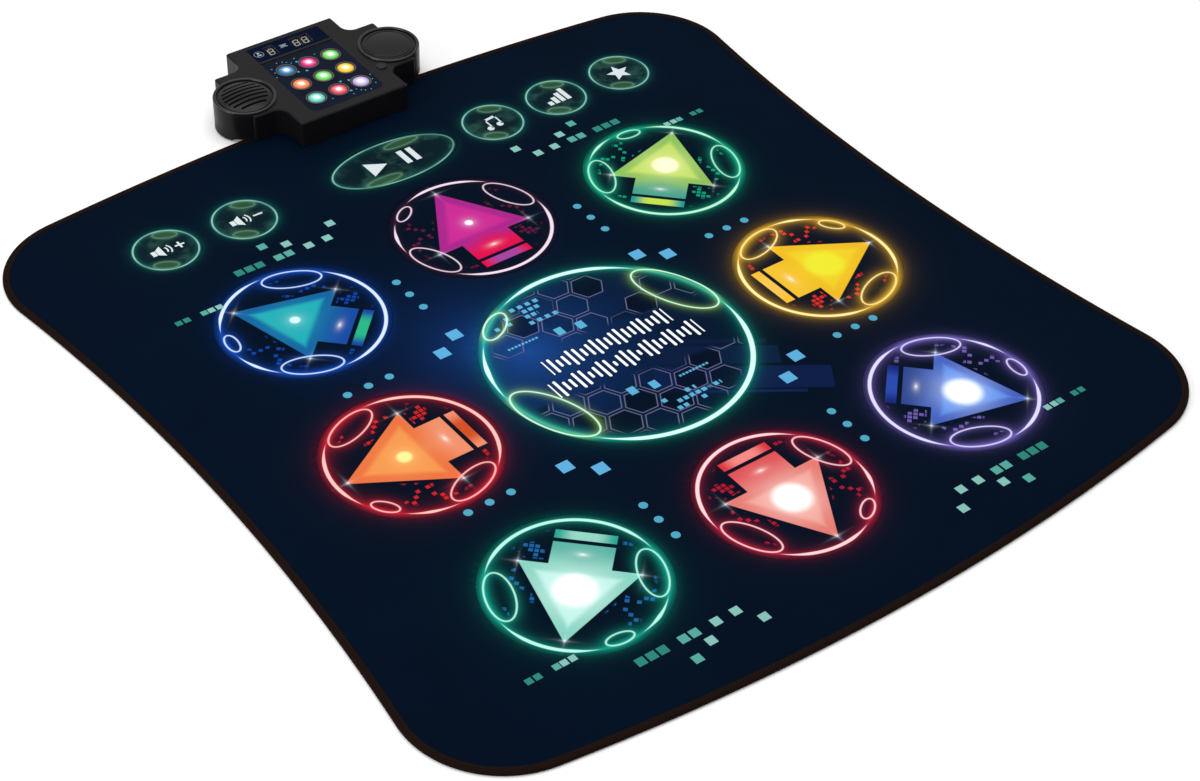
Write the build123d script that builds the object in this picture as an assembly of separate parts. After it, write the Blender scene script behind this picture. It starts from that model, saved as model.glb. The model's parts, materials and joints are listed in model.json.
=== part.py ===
"""Dance mat with a lit console, as an assembly of separate pieces, in millimetres.

The origin is on the floor, under the middle of the whole object's box. +X is the player's right, +Y runs
from the near edge of the mat to the back of the console, and +Z is up. Console pieces are drawn from the
middle of the console's front edge; those that belong to its sloping top are drawn in the slope's own plane.
"""

from build123d import *
from math import asin, cos, hypot, radians, sin, sqrt, tan
import os

os.makedirs("parts", exist_ok=True)

# ---------------------------------------------------------------- driving sizes: mat
mat_width = 850.0  # across the round corners
side_hollow = 23.0  # how far each side curves in at its middle
mat_length = 901.0  # middle of the near edge to middle of the far edge
corner_radius = 95.0
near_edge_radius = 2220.0
far_edge_radius = 2840.0
backing_thickness = 0.8
film_thickness = 0.2
foam_thickness = 2.0
cloth_thickness = 0.6
contact_thickness = 0.3
tape_thickness = 0.5
tape_width = 7.0

# ---------------------------------------------------------------- driving sizes: pads
arrow_pad_radius = 84.0
middle_pad_radius = 131.0
foot_button_radius = 35.0
start_pad_half_width = 76.0
start_pad_half_depth = 37.0
side_pad_reach = 237.0  # left and right pads, from the middle
far_pad_reach = 236.0
near_pad_reach = 241.0
diagonal_pad_across = 216.0
diagonal_pad_far = 205.0
diagonal_pad_near = 225.0
side_pad_drop = 10.0  # how far the side pads sit nearer the player than the middle pad
foot_button_row = 376.0  # row of foot buttons, from the middle pad
pad_field_from_near = 402.0  # middle of the middle pad, from the near edge

# ---------------------------------------------------------------- driving sizes: console
console_overlap = 50.0  # how far the console stands over the mat
body_width = 130.0
body_depth = 152.0
wing_span = 197.0
wing_front = 36.5
wing_depth = 82.0
pod_radius = 33.0
pod_inner_edge = 55.5  # near side of each pod, from the console's middle
pod_front_edge = 40.0  # front of each pod, from the console's front
top_slope = 2.0  # degrees, falling towards the player
front_height = 32.5
wall = 2.2
top_thickness = 3.4
floor_thickness = 3.0
parting_height = 12.0
ledge_thickness = 2.0
foot_height = 2.0
inner_corner_radius = 12.0
outer_corner_radius = 2.5
edge_bevel = 1.2

# ---------------------------------------------------------------- driving sizes: lights and display
panel_width = 88.0
panel_depth = 101.0
panel_from_front = 11.0
panel_thickness = 1.6
panel_corner_radius = 9.0
lens_radius = 8.75
lens_pitch_across = 27.2
lens_pitch_along = 29.6
lens_flange = 1.5
lens_flange_thickness = 1.0
lens_dome = 0.9
bezel_width = 2.3
bezel_height = 0.5
window_depth = 26.0
ridge_gap = 7.0
ridge_width = 2.4
ridge_height = 0.8
window_corner_radius = 2.0
digit_width = 11.6
digit_depth = 17.0
digit_block_height = 8.0
one_digit_x = -21.0
two_digit_x = 15.5
board_thickness = 1.6
light_board_half_width = 52.0
light_board_height = 22.0
emitter_radius = 2.5
emitter_height = 3.0
divider_wall = 4.0

# ---------------------------------------------------------------- driving sizes: pods and speaker
ring_width = 3.5
ring_height = 2.2
ring_round = 1.4
grille_flange_radius = 28.6
grille_dome_radius = 27.6
grille_dome_height = 5.0
grille_rim_height = 0.8
grille_flange_width = 3.4
grille_thickness = 2.0
slot_count = 7
slot_pitch = 6.2
slot_width = 2.6
slot_field_radius = 24.0
cap_dome_height = 3.2
cap_bead_radius = 24.6
cap_bead_thickness = 0.7
speaker_radius = 25.0
speaker_depth = 10.5
speaker_throat = 15.0
magnet_radius = 14.0
magnet_height = 6.0
cone_thickness = 0.6

# ---------------------------------------------------------------- driving sizes: power button
button_x = 60.5
button_y = 43.5
button_radius = 5.75
button_proud = 1.3
button_travel = 1.2
button_flange = 1.4
switch_side = 8.0
switch_height = 3.4
plunger_radius = 1.75

# ---------------------------------------------------------------- driving sizes: batteries and door
cell_radius = 7.1
cell_length = 50.5
cell_nub_radius = 2.6
cell_nub_length = 1.2
cell_count = 3
cell_pitch = 15.5
spring_length = 5.0
spring_radius = 3.6
spring_wire = 0.3
plate_thickness = 0.4
bay_wall = 1.6
bay_from_front = 88.0
door_thickness = 2.4
door_tongue = 1.5
door_tongue_thickness = 0.9
door_tongue_left = 4.0  # length of tongue still held at the end of the door's travel

# ---------------------------------------------------------------- driving sizes: fastenings
screw_radius = 1.25
screw_head_radius = 2.5
screw_head_height = 1.6
board_screw_length = 5.6
boss_radius = 3.5
clamp_screw_radius = 1.5
clamp_bar_depth = 14.0
clamp_bar_width = 112.0
clamp_bar_from_front = 21.0
clamp_boss_radius = 3.0
clamp_boss_height = 1.6
rubber_foot_radius = 5.0
rubber_foot_seat = 0.6

# ---------------------------------------------------------------- fits
loose_gap = 0.3  # a moving piece beside a fixed one
seat_gap = 0.2  # a plate or disc in its recess
face_gap = 0.1  # two faces that only meet
screw_gap = 0.02  # a screw in the hole that it cuts its thread in
pass_gap = 0.25  # a screw through a clear hole

# ---------------------------------------------------------------- worked-out heights and places
lower_film_base = backing_thickness
foam_base = lower_film_base + film_thickness
upper_film_base = foam_base + foam_thickness
cloth_base = upper_film_base + film_thickness
mat_height = cloth_base + cloth_thickness
tape_top = mat_height + tape_thickness
pad_base = upper_film_base - contact_thickness
pad_travel = pad_base - foam_base - face_gap

overall_length = mat_length - console_overlap + body_depth
near_edge = -overall_length / 2
far_edge = near_edge + mat_length
console_front = far_edge - console_overlap
field_y = near_edge + pad_field_from_near
recess_depth = panel_thickness + seat_gap
ledge_base = tape_top + seat_gap + face_gap
ledge_top = ledge_base + ledge_thickness
step_from_front = console_overlap + 6.0
pod_reach = pod_inner_edge + pod_radius
pod_from_front = pod_front_edge + pod_radius
floor_top = foot_height + floor_thickness
panel_back = panel_from_front + panel_depth
window_front = panel_back + ridge_gap
light_board_top = light_board_height + board_thickness
slope = tan(radians(top_slope))


def save(name, *solids):
    """Write one sub-part; several solids stay separate solids of the same node."""
    shape = solids[0] if len(solids) == 1 else Compound(list(solids))
    export_step(shape, f"parts/{name}.step")


def block(x0, x1, y0, y1, z0, z1):
    """Box between two opposite corners."""
    box = Box(x1 - x0, y1 - y0, z1 - z0)
    return Pos((x0 + x1) / 2, (y0 + y1) / 2, (z0 + z1) / 2) * box


def post(x, y, z0, z1, radius):
    """Upright cylinder between two heights."""
    rod = Cylinder(radius, z1 - z0, align=(Align.CENTER, Align.CENTER, Align.MIN))
    return Pos(x, y, z0) * rod


def raise_face(face, z0, z1):
    """Upright solid over a flat outline, between two heights."""
    return Pos(0, 0, z0) * extrude(face, z1 - z0)


# ---------------------------------------------------------------- mat outline
corner_x = mat_width / 2 - corner_radius
far_centre = far_edge - far_edge_radius
near_centre = near_edge + near_edge_radius
far_corner_y = far_centre + sqrt((far_edge_radius - corner_radius) ** 2 - corner_x**2)
near_corner_y = near_centre - sqrt((near_edge_radius - corner_radius) ** 2 - corner_x**2)
half_waist = mat_width / 2 - side_hollow
side_middle = (far_corner_y + near_corner_y) / 2
corner_to_waist = half_waist - corner_x
half_span = (far_corner_y - near_corner_y) / 2
side_radius = (corner_to_waist**2 + half_span**2 - corner_radius**2) / (2 * (corner_radius - corner_to_waist))
side_centre_x = half_waist + side_radius


def towards(start, end, distance):
    """Point at a distance from start, on the line to end."""
    length = hypot(end[0] - start[0], end[1] - start[1])
    share = distance / length
    return (start[0] + (end[0] - start[0]) * share, start[1] + (end[1] - start[1]) * share)


def mat_outline(inset):
    """Face of the mat drawn in by inset: bowed ends, hollow sides and round corners, all tangent arcs."""
    corner = corner_radius - inset
    edges = []
    for side in (1, -1):
        waist_centre = (side * side_centre_x, side_middle)
        waist = (side * (half_waist - inset), side_middle)
        tangents = {}
        for end_name, end_centre, end_radius, corner_y in (
            ("far", (0, far_centre), far_edge_radius, far_corner_y),
            ("near", (0, near_centre), near_edge_radius, near_corner_y),
        ):
            centre = (side * corner_x, corner_y)
            on_end = towards(end_centre, centre, end_radius - inset)
            on_side = towards(centre, waist_centre, corner)
            chord_middle = ((on_end[0] + on_side[0]) / 2, (on_end[1] + on_side[1]) / 2)
            middle = towards(centre, chord_middle, corner)
            edges.append(ThreePointArc(on_end, middle, on_side))
            tangents[end_name] = on_end
            tangents[end_name + "_side"] = on_side
        edges.append(ThreePointArc(tangents["far_side"], waist, tangents["near_side"]))
        if side == 1:
            right_tangents = tangents
    edges.append(ThreePointArc(right_tangents["far"], (0, far_edge - inset), tangents["far"]))
    edges.append(ThreePointArc(right_tangents["near"], (0, near_edge + inset), tangents["near"]))
    return make_face(Wire(edges))


# ---------------------------------------------------------------- pads and foot buttons
arrow_pads = {
    "step_pad_far_left": (-diagonal_pad_across, diagonal_pad_far),
    "step_pad_far": (0.0, far_pad_reach),
    "step_pad_far_right": (diagonal_pad_across, diagonal_pad_far),
    "step_pad_left": (-side_pad_reach, -side_pad_drop),
    "step_pad_right": (side_pad_reach, -side_pad_drop),
    "step_pad_near_left": (-diagonal_pad_across, -diagonal_pad_near),
    "step_pad_near": (0.0, -near_pad_reach),
    "step_pad_near_right": (diagonal_pad_across, -diagonal_pad_near),
}
round_foot_buttons = {
    "foot_button_volume_up": -266.0,
    "foot_button_volume_down": -178.0,
    "foot_button_mode": 122.0,
    "foot_button_difficulty": 204.0,
    "foot_button_demo": 288.0,
}
start_button_x = -2.0


def pad_shapes():
    """Outline of each pad, without clearance, by node name, as functions of the growth of its edge."""
    shapes = {}
    for name, (x, y) in arrow_pads.items():
        shapes[name] = (x, field_y + y, arrow_pad_radius, arrow_pad_radius)
    shapes["step_pad_middle"] = (0.0, field_y, middle_pad_radius, middle_pad_radius)
    for name, x in round_foot_buttons.items():
        shapes[name] = (x, field_y + foot_button_row, foot_button_radius, foot_button_radius)
    start_place = (start_button_x, field_y + foot_button_row)
    shapes["foot_button_start"] = (*start_place, start_pad_half_width, start_pad_half_depth)
    return shapes


def pad_face(place, growth):
    """Round or oval face of one pad, grown by a clearance."""
    x, y, half_width, half_depth = place
    if half_width == half_depth:
        return Pos(x, y) * Circle(half_width + growth)
    return Pos(x, y) * Ellipse(half_width + growth, half_depth + growth)


pads = pad_shapes()
for pad_name, pad_place in pads.items():
    save(pad_name, raise_face(pad_face(pad_place, 0), pad_base, mat_height))

# ---------------------------------------------------------------- clamp that holds the mat in the console
clamp_bar_y0 = console_front + clamp_bar_from_front
clamp_bar_y1 = clamp_bar_y0 + clamp_bar_depth
clamp_y = (clamp_bar_y0 + clamp_bar_y1) / 2
clamp_xs = [clamp_bar_width * share for share in (-0.42, -0.17, 0.17, 0.42)]
clamp_boss_top = backing_thickness + clamp_boss_height


def clamp_bar():
    """Flat strip under the mat's far edge, with a threaded boss for each screw."""
    half = clamp_bar_width / 2
    bar = block(-half, half, clamp_bar_y0, clamp_bar_y1, 0, backing_thickness)
    for x in clamp_xs:
        bar += post(x, clamp_y, 0, clamp_boss_top, clamp_boss_radius)
    for x in clamp_xs:
        bar -= post(x, clamp_y, 0, clamp_boss_top, clamp_screw_radius + screw_gap)
    return bar


def screw(radius, length, head_radius, head_height):
    """Cross-head screw, its tip down and the underside of its head at the origin."""
    shank = post(0, 0, -length, 0, radius)
    head = post(0, 0, 0, head_height, head_radius)
    cross_length = head_radius * 1.1
    cross_width = head_radius * 0.28
    for turn in (0, 90):
        arm = Box(cross_length, cross_width, head_height, align=(Align.CENTER, Align.CENTER, Align.MIN))
        head -= Pos(0, 0, head_height * 0.4) * (Rot(0, 0, turn) * arm)
    return shank + head


# ---------------------------------------------------------------- mat layers
def layer(inset, z0, z1, pad_growth, clamp_hole_radius):
    """One sheet of the mat, open at the pads and at the clamp screws."""
    face = mat_outline(inset)
    if pad_growth is not None:
        for place in pads.values():
            face -= pad_face(place, pad_growth)
    for x in clamp_xs:
        face -= Pos(x, clamp_y) * Circle(clamp_hole_radius)
    return raise_face(face, z0, z1)


sheet_inset = tape_thickness + face_gap
screw_hole = clamp_screw_radius + pass_gap
boss_hole = clamp_boss_radius + pass_gap
save("top_cloth", layer(sheet_inset, cloth_base, mat_height, loose_gap, screw_hole))
save("upper_contact_film", layer(sheet_inset, upper_film_base, cloth_base, loose_gap, screw_hole))
save("spacer_foam", layer(sheet_inset, foam_base, upper_film_base, loose_gap, boss_hole))
save("lower_contact_film", layer(sheet_inset, lower_film_base, foam_base, None, boss_hole))

backing = raise_face(mat_outline(tape_width + face_gap), 0, backing_thickness)
backing -= block(
    -clamp_bar_width / 2 - loose_gap,
    clamp_bar_width / 2 + loose_gap,
    clamp_bar_y0 - loose_gap,
    clamp_bar_y1 + loose_gap,
    0,
    backing_thickness,
)
save("non_slip_backing", backing)
save("clamp_bar", clamp_bar())

# tail: out of the upper film through a slot in the tape, up behind the tape and into the connector
tail_width = 26.0
tail_start = far_edge - sheet_inset
tail_rise = far_edge + 2.0
main_board_base = 10.0
main_board_top = main_board_base + board_thickness
connector_height = 4.6
connector_front = console_overlap - 9.0
connector_depth = 5.0
tail_top = main_board_top + connector_height / 2
connector_back = console_front + connector_front + connector_depth


def edge_binding():
    """Tape folded over the edge: a flange under the sheets, one over them and a wall round them."""
    whole = raise_face(mat_outline(0), 0, tape_top)
    middle = raise_face(mat_outline(tape_width), 0, tape_top)
    pocket = raise_face(mat_outline(tape_thickness), backing_thickness, mat_height)
    slot_half = tail_width / 2 + loose_gap
    tail_slot = block(
        -slot_half,
        slot_half,
        far_edge - tape_width,
        far_edge + tape_thickness,
        upper_film_base - loose_gap,
        mat_height,
    )
    return whole - middle - pocket - tail_slot


def membrane_tail():
    """Flat printed tail, bent up and back over itself into the connector's mouth."""
    half = tail_width / 2
    thickness = film_thickness
    top = tail_top + thickness / 2
    rise_end = tail_rise + thickness
    run = block(-half, half, tail_start, rise_end, upper_film_base, cloth_base)
    rise = block(-half, half, tail_rise, rise_end, upper_film_base, top)
    back = block(-half, half, connector_back - 2.5, rise_end, top - thickness, top)
    return run + rise + back


save("edge_binding", edge_binding())
save("membrane_tail", membrane_tail())


# ---------------------------------------------------------------- console outline and slope
def console_outline(inset):
    """Plan of the console drawn in by inset: body, wings and two round pods."""
    half_body = body_width / 2 - inset
    half_wing = wing_span / 2 - inset
    body = Rectangle(2 * half_body, body_depth - 2 * inset)
    body = Pos(0, console_front + body_depth / 2) * body
    wings = Rectangle(2 * half_wing, wing_depth - 2 * inset)
    wings = Pos(0, console_front + wing_front + wing_depth / 2) * wings
    cross = body + wings
    wing_edges = (console_front + wing_front + inset, console_front + wing_front + wing_depth - inset)
    inner = [v for v in cross.vertices() if abs(abs(v.X) - half_body) < 0.01]
    inner = [v for v in inner if min(abs(v.Y - edge) for edge in wing_edges) < 0.01]
    cross = fillet(inner, inner_corner_radius + inset)
    outer = [v for v in cross.vertices() if abs(abs(v.X) - half_wing) < 0.01]
    ends = (console_front + inset, console_front + body_depth - inset)
    outer += [v for v in cross.vertices() if min(abs(v.Y - end) for end in ends) < 0.01]
    cross = fillet(outer, outer_corner_radius - inset * 0.5)
    for side in (-1, 1):
        cross += Pos(side * pod_reach, console_front + pod_from_front) * Circle(pod_radius - inset)
    return cross


top_place = Location((0, console_front, front_height), (top_slope, 0, 0))


def on_slope(x, y, depth, shape):
    """Put a shape drawn about its own origin on the sloping top: y along the slope, depth under it."""
    return top_place * (Pos(x, y, -depth) * shape)


def above_slope(depth):
    """Everything higher than a plane that lies a depth under the sloping top."""
    cover = Box(600, 900, 200, align=(Align.CENTER, Align.CENTER, Align.MIN))
    return on_slope(0, 0, depth, cover)


def top_height(y, depth=0.0):
    """Height of the slope's plane, or of one a depth under it, at a distance from the console's front."""
    return front_height + y * slope - depth / cos(radians(top_slope))


# ---------------------------------------------------------------- places inside the console
housing_screw_x = body_width / 2 - 9.0
housing_screws_at = [
    (side * housing_screw_x, console_front + y) for side in (-1, 1) for y in (step_from_front + 5.0, body_depth - 9.0)
]
light_posts_at = [
    (side * (panel_width / 2 + 4.2), console_front + y) for side in (-1, 1) for y in (14.0, panel_back - 4.0)
]
main_board_half_width = 46.0
main_board_front = 6.0
main_board_back = console_overlap - 4.0
main_posts_at = [
    (side * (main_board_half_width - 4.0), console_front + y)
    for side in (-1, 1)
    for y in (main_board_front + 4.0, main_board_back - 4.0)
]
feet_at = [(side * 50.0, console_front + 122.0) for side in (-1, 1)]
feet_at += [(side * (pod_reach + 3.0), console_front + pod_from_front + 13.0) for side in (-1, 1)]
pod_y = pod_from_front / cos(radians(top_slope))
panel_middle = panel_from_front + panel_depth / 2
lens_grid = [
    (column * lens_pitch_across, panel_middle + row * lens_pitch_along) for row in (-1, 0, 1) for column in (-1, 0, 1)
]
button_place = (button_x, console_front + button_y)
thread_length = 8.0
counterbore_top = foot_height + 4.0


# ---------------------------------------------------------------- upper housing
def upper_shell():
    """Upper moulding without its holes: walls, sloping top with a bevelled edge, and the ridge."""
    outer = raise_face(console_outline(0), parting_height, top_height(body_depth) + 20)
    outer -= above_slope(0)
    top_face = outer.faces().sort_by(Axis.Z)[-1]
    outer = chamfer(top_face.edges(), edge_bevel)
    inner = raise_face(console_outline(wall), parting_height, top_height(body_depth) + 20)
    inner -= above_slope(top_thickness)
    ridge_y = panel_back + ridge_gap / 2
    ridge = Box(panel_width, ridge_width, ridge_height + 1, align=(Align.CENTER, Align.CENTER, Align.MIN))
    return outer - inner + on_slope(0, ridge_y, 1, ridge)


def rounded_plate(width, depth, thickness, front_radius, back_radius):
    """Flat plate with its front edge on the origin, its top face at z = 0 and rounded corners."""
    face = Pos(0, depth / 2) * Rectangle(width, depth)
    face = fillet(face.vertices().group_by(Axis.Y)[0], front_radius)
    face = fillet(face.vertices().group_by(Axis.Y)[-1], back_radius)
    return Pos(0, 0, -thickness) * extrude(face, thickness)


def upper_housing():
    """Upper moulding with its recesses, openings, bosses and posts."""
    shell = upper_shell()
    grown = 2 * seat_gap
    panel_seat = rounded_plate(
        panel_width + grown, panel_depth + grown, recess_depth, panel_corner_radius + seat_gap, window_corner_radius
    )
    window_seat = rounded_plate(
        panel_width + grown, window_depth + grown, recess_depth, window_corner_radius, window_corner_radius
    )
    shell -= on_slope(0, panel_from_front - seat_gap, 0, panel_seat)
    shell -= on_slope(0, window_front - seat_gap, 0, window_seat)
    through = 2 * top_thickness
    for x, y in lens_grid:
        shell -= on_slope(x, y, top_thickness, Cylinder(lens_radius + seat_gap, through))
    for x, count in ((one_digit_x, 1), (two_digit_x, 2)):
        hole = Box(count * digit_width + 2 * loose_gap, digit_depth + 2 * loose_gap, through)
        shell -= on_slope(x, window_front + window_depth / 2, top_thickness, hole)
    for side in (-1, 1):
        seat = Cylinder(grille_flange_radius + seat_gap, recess_depth, align=(Align.CENTER, Align.CENTER, Align.MIN))
        shell -= on_slope(side * pod_reach, pod_y, recess_depth, seat)
        shell -= on_slope(side * pod_reach, pod_y, top_thickness, Cylinder(speaker_radius - 1.5, through))
    shell -= post(*button_place, parting_height, top_height(body_depth), button_radius + seat_gap)
    for x, y in light_posts_at:
        shell += post(x, y, light_board_top, top_height(y - console_front, top_thickness / 2), boss_radius - 0.5)
        shell -= post(x, y, light_board_top, light_board_top + 6.0, screw_radius + screw_gap)
    for x, y in housing_screws_at:
        shell += post(x, y, parting_height, top_height(y - console_front, top_thickness / 2), boss_radius)
        shell -= post(x, y, parting_height, parting_height + thread_length + 1, screw_radius + screw_gap)
    for spot in speaker_bosses():
        shell += spot
    for spot in speaker_pilots():
        shell -= spot
    return shell


# ---------------------------------------------------------------- speaker, grille and cap
speaker_screw_reach = (speaker_radius + pod_radius - wall) / 2
speaker_flange_thickness = 1.0
flange_bottom = top_thickness + face_gap + speaker_flange_thickness
clamp_ring_thickness = 1.6
clamp_ring_top = flange_bottom + face_gap
clamp_ring_bottom = clamp_ring_top + clamp_ring_thickness
speaker_boss_radius = 2.4
speaker_screw_radius = 1.0
speaker_pilot_top = top_thickness - 1.0
speaker_screw_turns = (30, 150, 270)


def speaker_part(depth, shape):
    """Put a shape drawn about its own origin on the left pod's axis, a depth under the slope."""
    return on_slope(-pod_reach, pod_y, depth, shape)


def round_the_speaker(depth, shape):
    """The same shape at each of the speaker's screws."""
    reach = Pos(speaker_screw_reach, 0, 0)
    return [speaker_part(depth, Rot(0, 0, turn) * (reach * shape)) for turn in speaker_screw_turns]


def speaker_bosses():
    height = flange_bottom - top_thickness + 0.4
    boss = Cylinder(speaker_boss_radius, height, align=(Align.CENTER, Align.CENTER, Align.MIN))
    return round_the_speaker(flange_bottom, boss)


def speaker_pilots():
    height = flange_bottom - speaker_pilot_top
    radius = speaker_screw_radius + screw_gap
    hole = Cylinder(radius, height, align=(Align.CENTER, Align.CENTER, Align.MIN))
    return round_the_speaker(flange_bottom, hole)


def turned(*lines):
    """Solid of revolution about Z from the lines of a half section in the XZ plane."""
    section = make_face(Wire([edge for line in lines for edge in line.edges()]))
    return revolve(Plane.XZ * section, Axis.Z)


def ball_radius(radius, rise):
    """Radius of the ball that a cap of this base radius and rise is cut from."""
    return (radius**2 + rise**2) / (2 * rise)


def dome_arc(radius, rim, crown):
    """Arc from a rim up to the axis, of a ball whose middle is on the axis."""
    ball = ball_radius(radius, crown - rim)
    half_angle = asin(radius / ball) / 2
    middle = (ball * sin(half_angle), crown - ball * (1 - cos(half_angle)))
    return ThreePointArc((radius, rim), middle, (0, crown))


def domed_disc(dome_height):
    """Disc with a flange that sits in the pod's recess and a shallow dome above it."""
    rim = grille_rim_height
    inner = grille_flange_radius - grille_flange_width
    crown = dome_height - grille_thickness
    outer_arc = dome_arc(grille_dome_radius, rim, dome_height)
    inner_arc = dome_arc(inner, -recess_depth, crown)
    flange = Polyline(
        (inner, -recess_depth),
        (grille_flange_radius, -recess_depth),
        (grille_flange_radius, -seat_gap),
        (grille_dome_radius, -seat_gap),
        (grille_dome_radius, rim),
    )
    return turned(outer_arc, Line((0, dome_height), (0, crown)), inner_arc, flange)


def speaker_grille():
    """Left pod's disc, with slots across it that get shorter towards its edge."""
    disc = domed_disc(grille_dome_height)
    for index in range(slot_count):
        y = (index - (slot_count - 1) / 2) * slot_pitch
        length = 2 * sqrt(slot_field_radius**2 - y**2)
        slot = extrude(SlotOverall(length, slot_width), 40)
        disc -= Pos(0, y, -20) * slot
    return speaker_part(0, disc)


def blank_cap():
    """Right pod's plain disc, with a raised bead near its edge."""
    bead = Torus(cap_bead_radius, cap_bead_thickness)
    ball = ball_radius(grille_dome_radius, cap_dome_height - grille_rim_height)
    bead_height = cap_dome_height - ball + sqrt(ball**2 - cap_bead_radius**2)
    disc = domed_disc(cap_dome_height) + Pos(0, 0, bead_height) * bead
    return on_slope(pod_reach, pod_y, 0, disc)


def pod_ring(side):
    """Rounded rim that stands on the top round one pod."""
    outer = pod_radius
    inner = pod_radius - ring_width
    ring = Cylinder(outer, ring_height, align=(Align.CENTER, Align.CENTER, Align.MIN))
    ring -= Cylinder(inner, ring_height, align=(Align.CENTER, Align.CENTER, Align.MIN))
    ring = fillet(ring.edges().group_by(Axis.Z)[-1], ring_round)
    return on_slope(side * pod_reach, pod_y, 0, ring)


def speaker_frame():
    """Pressed basket: a flat flange, a sloping wall and a back plate."""
    sheet = 0.8
    top = speaker_flange_thickness
    flange_inner = speaker_radius - 3.0
    back = top - speaker_depth
    basket = Polyline(
        (speaker_radius, 0),
        (speaker_radius, top),
        (flange_inner, top),
        (speaker_throat, back + sheet),
        (0, back + sheet),
        (0, back),
        (speaker_throat + sheet, back),
        (flange_inner + sheet, 0),
        (speaker_radius, 0),
    )
    return speaker_part(flange_bottom, turned(basket))


def speaker_cone():
    """Paper cone with its dust cap, inside the basket."""
    rim = speaker_radius - 4.2
    rim_z = speaker_flange_thickness - 0.6
    foot = 6.0
    foot_z = rim_z - 6.0
    cone = Polyline(
        (rim, rim_z),
        (foot, foot_z),
        (foot, foot_z - cone_thickness),
        (rim, rim_z - cone_thickness),
        (rim, rim_z),
    )
    dust_cap = Polyline(
        (0, foot_z + 1.2),
        (foot, foot_z),
        (foot, foot_z - cone_thickness),
        (0, foot_z + 1.2 - cone_thickness),
        (0, foot_z + 1.2),
    )
    return speaker_part(flange_bottom, turned(cone) + turned(dust_cap))


def speaker_magnet():
    magnet = Cylinder(magnet_radius, magnet_height, align=(Align.CENTER, Align.CENTER, Align.MAX))
    return speaker_part(flange_bottom + speaker_depth - speaker_flange_thickness + face_gap, magnet)


def speaker_clamp_ring():
    outer = pod_radius - wall - loose_gap * 2
    inner = speaker_radius - 2.0
    up = (Align.CENTER, Align.CENTER, Align.MIN)
    ring = Cylinder(outer, clamp_ring_thickness, align=up) - Cylinder(inner, clamp_ring_thickness, align=up)
    for turn in speaker_screw_turns:
        hole = Cylinder(speaker_screw_radius + pass_gap, clamp_ring_thickness, align=up)
        ring -= Rot(0, 0, turn) * (Pos(speaker_screw_reach, 0, 0) * hole)
    return speaker_part(clamp_ring_bottom, ring)


def speaker_screws():
    length = clamp_ring_bottom - speaker_pilot_top - face_gap
    fastener = Rot(180, 0, 0) * screw(speaker_screw_radius, length, 1.9, 1.4)
    return round_the_speaker(clamp_ring_bottom, fastener)


save("upper_housing", upper_housing())
save("speaker_grille", speaker_grille())
save("blank_cap", blank_cap())
save("pod_rings", pod_ring(-1), pod_ring(1))
save("speaker_frame", speaker_frame())
save("speaker_cone", speaker_cone())
save("speaker_magnet", speaker_magnet())
save("speaker_clamp_ring", speaker_clamp_ring())
save("speaker_screws", *speaker_screws())


# ---------------------------------------------------------------- light panel, lenses and display
def light_panel():
    """Navy plate with nine round holes."""
    plate = rounded_plate(panel_width, panel_depth, panel_thickness, panel_corner_radius, window_corner_radius)
    plate = on_slope(0, panel_from_front, seat_gap, plate)
    for x, y in lens_grid:
        plate -= on_slope(x, y, 0, Cylinder(lens_radius + seat_gap, 4 * panel_thickness))
    return plate


def light_lens(x, y):
    """Round window: a flange under the top, a barrel through it and a shallow dome."""
    flange_top = -top_thickness - face_gap
    flange_base = flange_top - lens_flange_thickness
    flange_radius = lens_radius + lens_flange
    dome = dome_arc(lens_radius, 0, lens_dome)
    rest = Polyline(
        (0, lens_dome),
        (0, flange_base),
        (flange_radius, flange_base),
        (flange_radius, flange_top),
        (lens_radius, flange_top),
        (lens_radius, 0),
    )
    return on_slope(x, y, 0, turned(dome, rest))


def lens_bezel(x, y):
    inner = lens_radius + loose_gap
    outer = inner + bezel_width
    up = (Align.CENTER, Align.CENTER, Align.MIN)
    ring = Cylinder(outer, bezel_height, align=up) - Cylinder(inner, bezel_height, align=up)
    return on_slope(x, y, seat_gap, ring)


def light_divider():
    """Tray with a cup round each light, its top parallel to the slope."""
    half_width = lens_pitch_across + lens_radius + divider_wall
    half_depth = lens_pitch_along + lens_radius + divider_wall
    middle = console_front + panel_middle * cos(radians(top_slope))
    tray = block(-half_width, half_width, middle - half_depth, middle + half_depth, light_board_top + face_gap, 60)
    tray -= above_slope(top_thickness + lens_flange_thickness + 2 * face_gap)
    for x, y in lens_grid:
        cup = post(x, console_front + y * cos(radians(top_slope)), light_board_height, 60, lens_radius - 0.5)
        tray -= cup
    return tray


def light_emitter(x, y):
    """Small round-topped light on the board under one lens."""
    place_y = console_front + y * cos(radians(top_slope))
    base = post(x, place_y, light_board_top, light_board_top + emitter_height, emitter_radius)
    return fillet(base.edges().group_by(Axis.Z)[-1], emitter_radius * 0.8)


def digit_block(x, count):
    """Display block for one or two digits, standing on its pins, with its face parallel to the slope."""
    middle = (window_front + window_depth / 2) * cos(radians(top_slope))
    y = console_front + middle
    half_width = count * digit_width / 2
    top = top_height(middle, recess_depth) - 0.6
    base = top - digit_block_height
    body = block(x - half_width, x + half_width, y - digit_depth / 2, y + digit_depth / 2, base, top)
    body -= above_slope(recess_depth + 0.5)
    for pin_x in (x - half_width * 0.6, x + half_width * 0.6):
        for pin_y in (y - digit_depth * 0.36, y + digit_depth * 0.36):
            body += post(pin_x, pin_y, light_board_top, base + 1, 0.4)
    return body


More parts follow.
